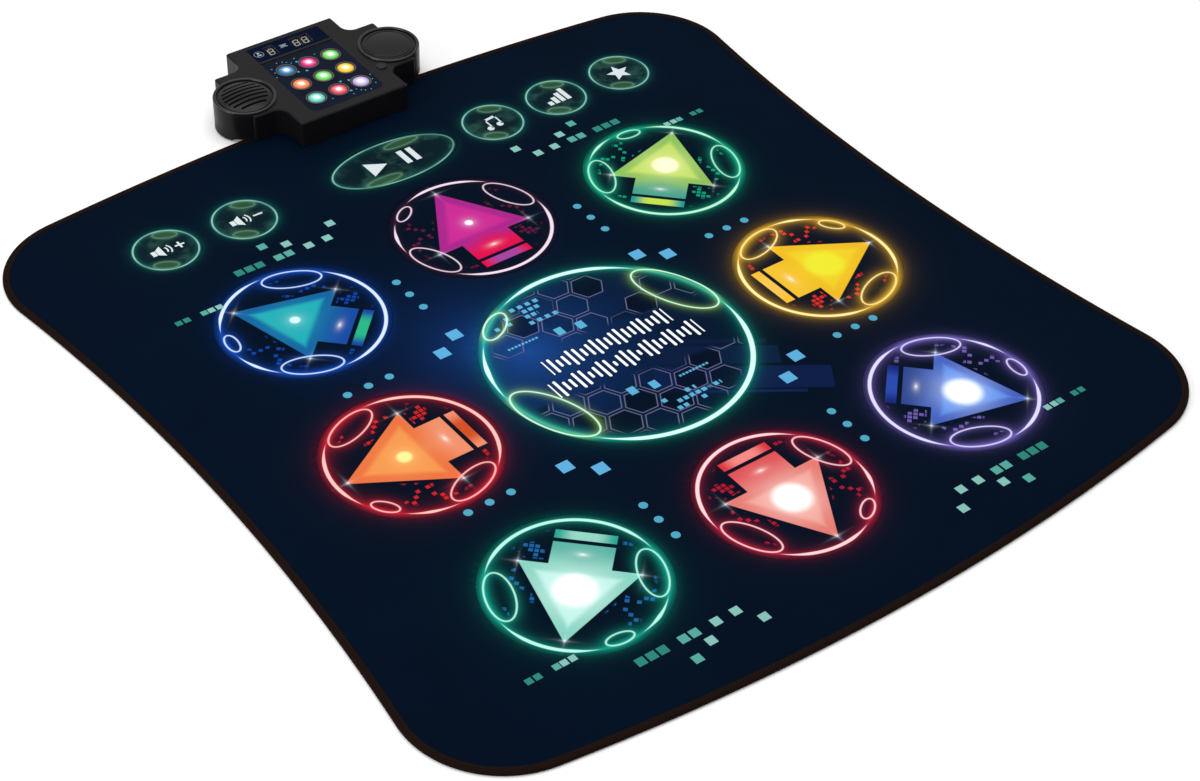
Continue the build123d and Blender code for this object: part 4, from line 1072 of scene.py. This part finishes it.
def one_stitch(length=3.0 * MM, thick=0.26 * MM, rings=5, sides=6):
    """Stitch as a bent thread: its rings' size and its arch follow one half sine."""
    t = np.linspace(0.06, 0.94, rings)
    arch = np.sin(np.pi * t)
    turn = np.linspace(0, 2 * np.pi, sides, endpoint=False)
    radius = thick * (0.45 + 0.55 * arch)
    along = np.broadcast_to(((t - 0.5) * length)[:, None], (rings, sides))
    beside = radius[:, None] * np.cos(turn)
    up = radius[:, None] * np.sin(turn) + (arch[:, None] - 0.75) * 0.22 * MM
    body = np.stack([along, beside, up], -1).reshape(-1, 3)
    ends = np.array([[-0.5 * length, 0, -0.25 * MM], [0.5 * length, 0, -0.25 * MM]])
    faces = grid_faces(rings, sides, True)
    tris = [(rings * sides, (j + 1) % sides, j) for j in range(sides)]
    last = (rings - 1) * sides
    tris += [(rings * sides + 1, last + j, last + (j + 1) % sides) for j in range(sides)]
    return np.concatenate([body, ends]), faces[:, ::-1].tolist() + tris


def many(shape, faces, middles, alongs, besides, height):
    """Copies of a small shape, each turned so that its length follows along."""
    placed = middles[:, None] + alongs[:, None] * shape[None, :, :1] + besides[:, None] * shape[None, :, 1:2]
    heights = np.broadcast_to(height + shape[None, :, 2:], (len(middles), len(shape), 1))
    points = np.concatenate([placed, heights], -1).reshape(-1, 3)
    copies = []
    first_points = np.arange(len(middles))[:, None, None] * len(shape)
    for corners in {len(f) for f in faces}:
        own = np.array([f for f in faces if len(f) == corners])
        copies += (own[None] + first_points).reshape(-1, corners).tolist()
    return points, copies


stitch_shape, stitch_faces = one_stitch()
seam_line = stitch_middle - stitch_out * SEAM_IN
seam_height = tape_high - 0.16 * MM
stitch_points, all_stitches = many(
    stitch_shape, stitch_faces, seam_line, stitch_along, -stitch_out, seam_height
)
thread, thread_shader, thread_places = open_material("dark_thread")
twist = noise_of(thread_places, 0.35 * MM, 2.0)
paint(thread_shader, colour=lay((0.006, 0.004, 0.004), (0.030, 0.018, 0.016), twist), rough=0.6, shine=0.05)
seam = new_piece("edge_seam", stitch_points, all_stitches, thread)
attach(seam, "mat_and_console")
print("stitches", stitch_count)

# %% [markdown]
# ## Ink marks
#
# Dots, squares and the little pictures on the foot buttons are printed flat. As ink has hardly any height,
# each mark is a thin patch just over the cloth. It takes its height from the same waves. The patches are
# grouped by colour, and a group is one mesh.

# %% Helpers for flat marks
INK_LIFT = 0.08 * MM


def ink_material(name, colour, glow=0.0):
    """Matt printing ink with the cloth's threads showing through it, painted darker in the hollows between
    them as painted shade; a glow, where given, is painted light.
    """
    material, shader, places = open_material(name)
    threads = threads_of(places, THREAD_PITCH)
    # painted shade: the ink is darker in the hollows between the threads
    deep = tuple(c * 0.72 for c in colour)
    paint(shader, colour=lay(deep, colour, threads), rough=0.6, shine=0.15, glow=colour, glow_power=glow)
    raise_from(shader, threads, 0.3, 0.1 * MM)
    return material


def block(x, y, half, tall=None):
    """Rectangle about a middle, in millimetres."""
    tall = half if tall is None else tall
    shape = np.array([[-half, -tall], [half, -tall], [half, tall], [-half, tall]])
    return shape + (x, y)


def spot_of_ink(x, y, radius, corners=28):
    """Round dot as an even polygon, in millimetres."""
    angle = np.linspace(0, 2 * np.pi, corners, endpoint=False)
    return np.stack([x + radius * np.cos(angle), y + radius * np.sin(angle)], -1)


def bow(x, y, radius, half, start, stop, corners=14):
    """Piece of a ring as a band between two arcs, in millimetres and degrees."""
    angle = np.radians(np.linspace(start, stop, corners))
    way = np.stack([np.cos(angle), np.sin(angle)], -1)
    bands = np.stack([way * (radius + half), way * (radius - half)], 1) + (x, y)
    return [np.array([a[0], b[0], b[1], a[1]]) for a, b in zip(bands[:-1], bands[1:])]


def on_cloth(x, y):
    """Height at which ink lies on the cloth."""
    return cloth_top + cloth_height(x, y) + INK_LIFT


def print_marks(name, shapes, middle, material, body="mat_and_console", height=on_cloth):
    """One mesh of flat patches given in millimetres about a middle, each following a surface's height."""
    plan = np.concatenate(shapes) * MM + np.array(middle)
    rise = height(plan[:, 0], plan[:, 1])
    starts = np.cumsum([0] + [len(s) for s in shapes])
    faces = [list(range(a, b)) for a, b in zip(starts[:-1], starts[1:])]
    turn = np.array([np.sum(s[:, 0] * np.roll(s[:, 1], -1) - np.roll(s[:, 0], -1) * s[:, 1]) for s in shapes])
    faces = [f if t > 0 else f[::-1] for f, t in zip(faces, turn)]
    piece = new_piece(name, np.column_stack([plan, rise]), faces, material, smooth=False)
    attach(piece, body)


# %% [markdown]
# ## Dots and squares on the cloth
#
# The scatter is the same on the left and on the right, and the near half repeats the far half, so a few
# distances give all of it. Squares fade from teal at the outside to a pale mint towards the middle.

# %% Print the dots and squares
DOT, BLUE_SQUARE, TEAL_SQUARE, SMALL_SQUARE = 4.25, 6.6, 4.5, 3.3
COLUMNS = ((-111.9, 104.3), (204.4, 181.7, 158.1, -181.7, -203.4, -227.0))
ROWS = ((-240.2, -217.6, -195.0, 181.7, 204.4, 227.0), (90.2, -101.5))
dots = [spot_of_ink(x, y, DOT) for xs, ys in (COLUMNS, ROWS) for x in xs for y in ys]
BLUE_PLACES = (
    (-136.4, 90.2), (129.8, 90.2), (-111.9, 106.2), (104.3, 106.2),
    (-137.0, -102.4), (129.8, -102.4), (-112.8, -122.2), (103.4, -122.2),
)
squares = [block(x, y, BLUE_SQUARE) for x, y in BLUE_PLACES]
print_marks("print_dots", dots, field, ink_material("ink_sky", (0.055, 0.33, 0.48)))
print_marks("print_squares", squares, field, ink_material("ink_blue", (0.085, 0.37, 0.64)))
# name and colour of a shade, then the places of its large and its small squares in one quarter of the mat
SHADES = (
    ("teal", (0.012, 0.20, 0.16),
     ((227.0, 315.0), (215.7, 315.0), (204.4, 315.0)), ((312.9, 280.0), (304.4, 280.0))),
    ("sea", (0.07, 0.34, 0.29),
     ((182.7, 315.0), (171.3, 315.0), (187.4, 338.9)), ((285.6, 280.0),)),
    ("mint", (0.20, 0.47, 0.42),
     ((148.7, 315.0), (165.7, 329.5), (127.9, 315.0), (112.8, 334.0)), ((278.0, 280.0), (269.5, 280.0))),
)
ROW_MIDDLE = -11.8
for shade, colour, large, small in SHADES:
    patches = []
    for side in (-1, 1):
        for end in (-1, 1):
            for places, half in ((large, TEAL_SQUARE), (small, SMALL_SQUARE)):
                patches += [block(side * x, ROW_MIDDLE + end * y, half) for x, y in places]
    print_marks("print_" + shade, patches, field, ink_material("ink_" + shade, colour))
print("dots", len(dots), "squares", len(squares))

# %% [markdown]
# ## Little pictures on the foot buttons
#
# A loudspeaker with a plus or a minus, a play and a pause sign, a note, three level bars and a star say what
# the six buttons do. Each is a handful of flat shapes in millimetres, drawn about the button's middle.


# %% Print the pictures
def loudspeaker(x):
    """Loudspeaker seen from the side: a box, a cone and two sound bows."""
    cone = np.array([[x - 2.0, 4.0], [x - 2.0, -4.0], [x + 4.5, -8.8], [x + 4.5, 8.8]])
    bows = [band for radius in (6.5, 10.4) for band in bow(x + 3.0, 0.0, radius, 0.8, -38.0, 38.0)]
    return [block(x - 5.0, 0.0, 2.4, 4.0), cone, *bows]


def note(x, y):
    """Two joined quavers: two round heads, two stems and a slanting beam."""
    heads = [spot_of_ink(x - 7.2, y - 7.4, 3.7), spot_of_ink(x + 5.6, y - 5.6, 3.7)]
    stems = [block(x - 4.4, y + 1.0, 0.9, 8.6), block(x + 8.4, y + 2.8, 0.9, 8.6)]
    beam = np.array([[x - 5.3, y + 9.6], [x - 5.3, y + 6.0], [x + 9.3, y + 8.0], [x + 9.3, y + 11.6]])
    return [*heads, *stems, beam]


def five_points(x, y, reach):
    """Star as a ten-cornered outline, every second corner drawn in."""
    angle = np.pi / 2 + np.arange(10) * np.pi / 5
    radius = np.where(np.arange(10) % 2, 0.45 * reach, reach)
    return np.stack([x + radius * np.cos(angle), y + radius * np.sin(angle)], -1)


minus = block(15.0, 0.0, 5.2, 1.1)
play = np.array([[-30.0, 12.5], [-30.0, -12.5], [-8.0, 0.0]])
pictures = {
    "volume_up": [*loudspeaker(-8.0), minus, block(15.0, 3.15, 1.1, 2.05), block(15.0, -3.15, 1.1, 2.05)],
    "volume_down": [*loudspeaker(-8.0), minus],
    "start": [play, block(13.0, 0.0, 3.2, 12.0), block(24.0, 0.0, 3.2, 12.0)],
    "mode": note(-1.0, -1.0),
    "difficulty": [block(-11.0 + 7.4 * i, -6.6 + 2.6 * i, 2.7, 3.4 + 2.6 * i) for i in range(4)],
    "demo": [five_points(0.0, 0.0, 14.0)],
}
white_ink = ink_material("ink_white", (0.62, 0.70, 0.72))
for name, shapes in pictures.items():
    node = "foot_button_" + name
    print_marks("print_sign_" + name, shapes, discs[node][:2], white_ink, node)
print("pictures", len(pictures))

# %% [markdown]
# ## Finishes of the hard pieces
#
# The hard pieces keep their CAD shape. What makes them look right is their finish: moulded plastic has a
# fine spark-eroded grain, the pods' rims are polished, the panel is a printed sheet under gloss. Every
# finish is put on all nodes of one material slot.


# %% Helpers for hard finishes
def dress(slot, material):
    """Put a finish on every CAD node of a slot that is still on show."""
    for node, owner in slot_of.items():
        if owner == slot and node in bpy.data.objects:
            bpy.data.objects[node].data.materials[0] = material


def moulded(slot, colour, roughness, grain=0.35, depth=0.03, coat=0.0, shine=0.5):
    """Moulded plastic: a fine grain in its relief, a slower one in its gloss and a trace of handling."""
    material, shader, places = open_material("finish_" + slot)
    fine = noise_of(places, grain * MM, 2.0, 0.6)
    slow = noise_of(places, 14 * MM, 3.0)
    lighter = tuple(min(1.0, c * 1.25 + 0.001) for c in colour)
    gloss = roughness + (slow - 0.5) * 0.12 + (fine - 0.5) * 0.08
    paint(shader, colour=lay(colour, lighter, slow), rough=gloss, shine=shine, coat=coat, coat_rough=0.12)
    raise_from(shader, fine, 0.5, depth * MM)
    dress(slot, material)


def metal(slot, colour, roughness, brushed=(1.0, 1.0, 1.0)):
    """Bare or plated metal: stretched noise makes the drawing or rolling lines in its gloss and relief."""
    material, shader, places = open_material("finish_" + slot)
    lines = noise_of(seen_from(places, (0.0, 0.0), 0.0, brushed), 0.6 * MM, 3.0, 0.6)
    tarnish = noise_of(places, 7 * MM, 3.0)
    darker = tuple(c * 0.72 for c in colour)
    gloss = roughness + (lines - 0.5) * 0.25
    paint(shader, colour=lay(colour, darker, tarnish * 0.7), metal=1.0, rough=gloss)
    raise_from(shader, lines, 0.3, 0.02 * MM)
    dress(slot, material)


moulded("housing_grey", (0.0044, 0.0044, 0.0054), 0.34, shine=0.13)
moulded("base_black", (0.0032, 0.0032, 0.0040), 0.46, shine=0.14)
moulded("ring_black", (0.0034, 0.0034, 0.0040), 0.17, grain=0.9, depth=0.004, shine=0.42)
moulded("grille_grey", (0.0046, 0.0046, 0.0052), 0.28, shine=0.20)
moulded("button_black", (0.0110, 0.0062, 0.0056), 0.34, shine=0.2)
moulded("divider_white", (0.72, 0.72, 0.70), 0.45)
moulded("component_black", (0.012, 0.012, 0.012), 0.50)
moulded("connector_cream", (0.62, 0.54, 0.38), 0.40)
moulded("magnet_grey", (0.035, 0.035, 0.037), 0.62, grain=0.8, depth=0.06)
moulded("cone_paper", (0.020, 0.019, 0.018), 0.85, grain=1.2, depth=0.10)
moulded("foot_rubber", (0.012, 0.012, 0.012), 0.75)
moulded("wire_red", (0.45, 0.012, 0.010), 0.35, grain=0.8, depth=0.01)
moulded("capacitor_sleeve", (0.008, 0.012, 0.060), 0.30, coat=0.3)
metal("clamp_steel", (0.42, 0.42, 0.43), 0.36, (30.0, 1.0, 1.0))
metal("speaker_steel", (0.48, 0.47, 0.45), 0.30)
metal("spring_steel", (0.55, 0.54, 0.52), 0.26)
metal("contact_plate", (0.60, 0.59, 0.55), 0.28, (1.0, 1.0, 8.0))
metal("screw_steel", (0.40, 0.39, 0.37), 0.34)

# %% [markdown]
# ## Sheets inside the mat, boards and cells
#
# Nobody sees these while the mat lies on the floor, but the model can be opened, so each has its own finish:
# open-celled foam, printed carbon on clear film, a studded rubber back, a green board with its tracks, and
# cells in a two-coloured jacket.


# %% Foam, film, rubber back, boards and cells
def studded_back():
    """Non-slip back: round studs on a staggered grid, raised from a matt rubber skin that is painted darker
    between the studs as painted shade and mottled by a noise.
    """
    material, shader, places = open_material("finish_backing_rubber")
    studs, _ = honeycomb(places, 5.0 * MM)
    height = step_up(studs, 0.4 * MM, 1.5 * MM)
    skin = noise_of(places, 0.7 * MM, 3.0)
    # painted shade: the skin between the studs is darker and the studs lighter, with a noise mixed in
    rubber = lay((0.010, 0.010, 0.011), (0.026, 0.026, 0.028), height * 0.6 + skin * 0.4)
    paint(shader, colour=rubber, rough=0.85)
    raise_from(shader, height + skin * 0.15, 0.8, 0.5 * MM)
    dress("backing_rubber", material)


def foam():
    """Open-celled foam: cell walls from a Voronoi pattern, with the pores between them painted darker as
    painted shade.
    """
    material, shader, places = open_material("finish_spacer_foam")
    cells = shader.id_data.nodes.new("ShaderNodeTexVoronoi")
    cells.inputs["Scale"].default_value = 900.0
    put(shader.id_data, places, cells.inputs["Vector"])
    pores = Ink(cells.outputs["Distance"])
    # painted shade: the pores are darker than the cell walls round them
    grey = lay((0.035, 0.035, 0.037), (0.11, 0.11, 0.115), step_up(pores, 0.1, 0.6))
    paint(shader, colour=grey, rough=0.95)
    raise_from(shader, pores, 0.9, 0.6 * MM)
    dress("spacer_foam", material)


def contact_film():
    """Clear film with a printed carbon grid."""
    material, shader, places = open_material("finish_contact_film")
    x, y = sides_of(reckon_vector("FRACTION", reckon_vector("SCALE", places, scale=1.0 / (9.0 * MM))))
    line = step_up(smallest(abs(x - 0.5), abs(y - 0.5)), 0.09, 0.06)
    paint(shader, colour=lay((0.42, 0.44, 0.45), (0.014, 0.014, 0.015), line), rough=0.16 + line * 0.45)
    raise_from(shader, line, 0.5, 0.03 * MM)
    dress("contact_film", material)


def circuit_board():
    """Green lacquer over copper tracks that bend where a rounded step changes, and bright pads."""
    material, shader, places = open_material("finish_board_green")
    x, y = sides_of(places)
    tracks = abs(reckon("FRACT", x * 190.0 + reckon("ROUND", y * 70.0) * 0.5) - 0.5)
    turns = abs(reckon("FRACT", y * 170.0 + reckon("ROUND", x * 60.0) * 0.5) - 0.5)
    pick = step_up(noise_of(places, 9 * MM, 0.0), 0.49, 0.51)
    copper = step_up(tracks * pick + turns * (1.0 - pick), 0.13, 0.09)
    tile = reckon_vector("FRACTION", reckon_vector("MULTIPLY", places, (240.0, 240.0, 0.0)))
    spots = length_of(reckon_vector("SUBTRACT", tile, (0.5, 0.5, 0.0)))
    pads = step_up(spots, 0.24, 0.18) * step_up(noise_of(places, 5 * MM, 0.0), 0.58, 0.60)
    colour = lay((0.006, 0.060, 0.022), (0.016, 0.125, 0.045), copper)
    paint(shader, colour=lay(colour, (0.62, 0.60, 0.55), pads), metal=pads * 0.9, rough=0.32)
    raise_from(shader, copper + pads, 0.4, 0.04 * MM)
    dress("board_green", material)


def cell_jackets():
    """Printed foil: a dark body and a copper band at the end of the bay nearer the mat."""
    material, shader, places = open_material("finish_cell_jacket")
    low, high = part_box("battery_cells")
    x, y = sides_of(places)
    if high.x - low.x > high.y - low.y:
        along, start, stop = x, low.x, high.x
    else:
        along, start, stop = y, low.y, high.y
    band = step_up(along, start + (stop - start) * 0.70, start + (stop - start) * 0.705)
    foil = lay((0.010, 0.012, 0.016), (0.55, 0.22, 0.07), band)
    paint(shader, colour=foil, metal=band * 0.85, rough=0.24 + noise_of(places, 3 * MM) * 0.14)
    dress("cell_jacket", material)


studded_back()
foam()
contact_film()
circuit_board()
cell_jackets()
clear, clear_shader, clear_places = open_material("finish_emitter_clear")
clear_gloss = 0.08 + noise_of(clear_places, 1 * MM) * 0.08
paint(clear_shader, colour=(0.92, 0.95, 0.96), rough=clear_gloss, through=0.9)
dress("emitter_clear", clear)
print("inner finishes done")

# %% [markdown]
# ## The light panel
#
# Nine round windows stand in a dark printed panel, each lit from below in its own colour. One material
# colours all nine lenses. It counts columns and rows of the grid from the place on the panel. A pale hot
# spot sits over the emitter, and the colour deepens towards the rim.

# %% Lenses and bezels
bezel_low, bezel_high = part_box("lens_bezels")
BEZEL_RADIUS = 11.35 * MM
LENS_RADIUS = 8.75 * MM
grid_middle = middle_of("lens_bezels")[:2]
pitch = np.array([bezel_high.x - bezel_low.x, bezel_high.y - bezel_low.y]) / 2 - BEZEL_RADIUS
# front row first, each row from left to right
LIGHTS = (
    (0.10, 0.52, 0.42), (0.74, 0.05, 0.09), (0.46, 0.36, 0.68),
    (0.86, 0.19, 0.055), (0.13, 0.56, 0.10), (0.87, 0.50, 0.015),
    (0.008, 0.16, 0.37), (0.62, 0.008, 0.19), (0.13, 0.56, 0.10),
)


def grid_places(places):
    """Column and row of the nearest lens, and the distance from that lens's middle."""
    scaled = seen_from(places, grid_middle, 0.0, (float(pitch[0]), float(pitch[1]), 1.0))
    x, y = sides_of(scaled)
    column, row = reckon("ROUND", x), reckon("ROUND", y)
    off_x, off_y = (x - column) * float(pitch[0]), (y - row) * float(pitch[1])
    return column, row, off_x, off_y, reckon("SQRT", off_x * off_x + off_y * off_y)


def lens_finish():
    """Milky lens: its lamp's colour with a hot spot and a deeper rim."""
    material, shader, places = open_material("finish_lens_milk")
    column, row, off_x, off_y, away = grid_places(places)
    number = (column + 1.0 + (row + 1.0) * 3.0 + 0.5) / 9.0
    ramp = shader.id_data.nodes.new("ShaderNodeValToRGB")
    ramp.color_ramp.interpolation = "CONSTANT"
    while len(ramp.color_ramp.elements) < len(LIGHTS):
        ramp.color_ramp.elements.new(0.5)
    for i, colour in enumerate(LIGHTS):
        ramp.color_ramp.elements[i].position = i / len(LIGHTS)
        ramp.color_ramp.elements[i].color = (*colour, 1)
    put(shader.id_data, number, ramp.inputs["Fac"])
    lamp = ramp.outputs["Color"]
    streak = abs(off_x + off_y) * 1.1 + abs(off_x - off_y) * 0.30
    hot = fade(away * away / (3.4 * MM), 3.4 * MM) * 0.75 + fade(streak, 1.5 * MM) * 0.5
    rim = step_up(away, LENS_RADIUS * 0.62, LENS_RADIUS * 1.02)
    colour = lay(lamp, (0.0, 0.0, 0.0), rim * 0.35)
    colour = lay(colour, (1.0, 1.0, 1.0), hot)
    gloss = 0.16 + noise_of(places, 1.5 * MM) * 0.08
    paint(shader, colour=colour, glow=colour, shine=0.12, glow_power=hot * 0.6 + 0.12, rough=gloss)
    dress("lens_milk", material)


def bezel_finish():
    """Dark ring with one thin pinkish grey line."""
    material, shader, places = open_material("finish_bezel_black")
    away = grid_places(places)[-1]
    line = step_up(abs(away - 10.35 * MM), 0.45 * MM, 0.20 * MM)
    paint(shader, colour=lay((0.0035, 0.0035, 0.0045), (0.105, 0.070, 0.068), line), rough=0.28)
    raise_from(shader, noise_of(places, 0.4 * MM), 0.3, 0.01 * MM)
    dress("bezel_black", material)


lens_finish()
bezel_finish()
print("lens pitch", (pitch / MM).round(2))

# %% [markdown]
# The panel and the digit window are glossy printed sheets. The panel slopes a little towards the player, so
# its marks and the window's marks need a height that follows that slope.

# %% Panel, window and their small marks
panel_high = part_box("light_panel")[1]
window_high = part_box("display_window")[1]
SLOPE = np.tan(np.radians(2.0))
PANEL_LIFT = 0.06 * MM


def panel_top(x, y):
    """Height of the sloping top at a distance from the player, just clear of the surface."""
    return panel_high.z - (panel_high.y - y) * SLOPE + PANEL_LIFT


def window_top(x, y):
    """Same for the display window."""
    return window_high.z - (window_high.y - y) * SLOPE + PANEL_LIFT


panel, panel_shader, panel_places = open_material("finish_panel_navy")
panel_shade = lay((0.0010, 0.0028, 0.0105), (0.0022, 0.0062, 0.0220), noise_of(panel_places, 12 * MM, 3.0))
paint(panel_shader, colour=panel_shade, rough=0.26, shine=0.05)
raise_from(panel_shader, noise_of(panel_places, 0.5 * MM), 0.3, 0.008 * MM)
dress("panel_navy", panel)

blocks = [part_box("one_digit_display"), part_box("two_digit_display")]
window, window_shader, window_places = open_material("finish_window_smoke")
wx, wy = sides_of(window_places)
INSET = 0.4 * MM
clear_parts = []
for low, high in blocks:
    here = smallest(wx - (low.x + INSET), (high.x - INSET) - wx, wy - (low.y + INSET), (high.y - INSET) - wy)
    clear_parts.append(step_up(here, -0.1 * MM, 0.1 * MM))
clear_part = largest(*clear_parts)
window_print = lay((0.0014, 0.0042, 0.0150), (0.0024, 0.0068, 0.0240), noise_of(window_places, 9 * MM, 2.0))
window_colour = lay(window_print, (0.86, 0.87, 0.90), clear_part)
window_gloss = 0.22 - clear_part * 0.18
paint(window_shader, colour=window_colour, through=clear_part, rough=window_gloss, shine=0.06, bend=1.12)
dress("window_smoke", window)

digit, digit_shader, digit_places = open_material("finish_digit_grey")
digit_colour = lay((0.004, 0.004, 0.0045), (0.009, 0.009, 0.010), noise_of(digit_places, 1 * MM))
paint(digit_shader, colour=digit_colour, rough=0.45, shine=0.05)
dress("digit_grey", digit)


def segment(x, y, upright, half_long=2.5, half_wide=0.5, lean=0.14):
    """Six-cornered bar of a digit, leaning to the right with height."""
    x_at = np.array([-1, -1, 1, 1, 1, -1]) * half_long + np.array([0, 1, -1, 0, -1, 1]) * half_wide
    shape = np.stack([x_at, np.array([0, -1, -1, 0, 1, 1]) * half_wide], -1)
    shape = (shape[:, ::-1] if upright else shape) + (x, y)
    return np.column_stack([shape[:, 0] + shape[:, 1] * lean, shape[:, 1]])


def eight(x):
    """All seven bars of one digit."""
    level = [segment(x, y, False) for y in (-5.4, 0.0, 5.4)]
    upright = [segment(x + dx, dy, True) for dx in (-2.75, 2.75) for dy in (-2.7, 2.7)]
    return level + upright


segment_ink, segment_shader, segment_places = open_material("digit_bars")
segment_gloss = 0.3 + noise_of(segment_places, 1 * MM) * 0.2
# the bars glow a little, which is painted light: it stands in for the light that reaches them through the
# smoked window
bar_painted_light = (0.55, 0.50, 0.42)
paint(segment_shader, colour=(0.42, 0.38, 0.32), glow=bar_painted_light, glow_power=0.35, rough=segment_gloss)


def digit_top(x, y):
    """Just over the digit blocks, which share one height."""
    return np.full(len(x), blocks[0][1].z + INK_LIFT)


for name, digits in (("one", (0.0,)), ("two", (-5.4, 5.4))):
    bars = [bar for x in digits for bar in eight(x)]
    place = middle_of(name + "_digit_display")[:2]
    print_marks(name + "_digit_bars", bars, place, segment_ink, height=digit_top)

# marks in units of the lens pitch from the middle lens; the other half is the same, turned half round
SPARKS = (
    (-1.06, 1.58), (-0.84, 1.53), (-0.71, 1.44), (-0.58, 1.31), (-0.33, 1.50),
    (-1.44, 1.34), (-1.46, 1.08), (-1.56, 0.80), (0.50, 1.34),
)
ARROWHEADS = ((-0.34, 0.61, 0.0), (-0.66, 0.70, 90.0), (-0.36, 1.28, -90.0))
specks = []
for half_turn in (1, -1):
    for place in SPARKS:
        specks.append(block(*(half_turn * np.array(place) * pitch / MM), 0.62))
    for column, row, way in ARROWHEADS:
        tip = spot_of_ink(0.0, 0.0, 2.0, 3)
        c, s = np.cos(np.radians(way + 90.0)), np.sin(np.radians(way + 90.0))
        tip = tip @ np.array([[c, s], [-s, c]])
        specks.append(half_turn * (tip + np.array([column * pitch[0], row * pitch[1]]) / MM))
# the cyan marks are printed ink with a faint glow, which is painted light
cyan_ink = ink_material("ink_cyan", (0.05, 0.36, 0.52), 0.15)
print_marks("panel_specks", specks, grid_middle, cyan_ink, height=panel_top)

window_middle = middle_of("display_window")[:2]
tags = [spot_of_ink(-36.0, 2.0, 1.5), block(-36.0, -1.8, 2.6, 0.9), *bow(-36.0, 0.0, 5.2, 0.18, 0, 360, 40)]
tags += [block(-5.8, 2.6, 4.4, 0.35), block(-5.8, 0.6, 3.0, 0.7), block(-5.8, -1.6, 4.4, 0.35)]
pale_ink = ink_material("ink_pale", (0.36, 0.42, 0.50))
print_marks("window_tags", tags, window_middle, pale_ink, height=window_top)
print("specks", len(specks), "tags", len(tags))
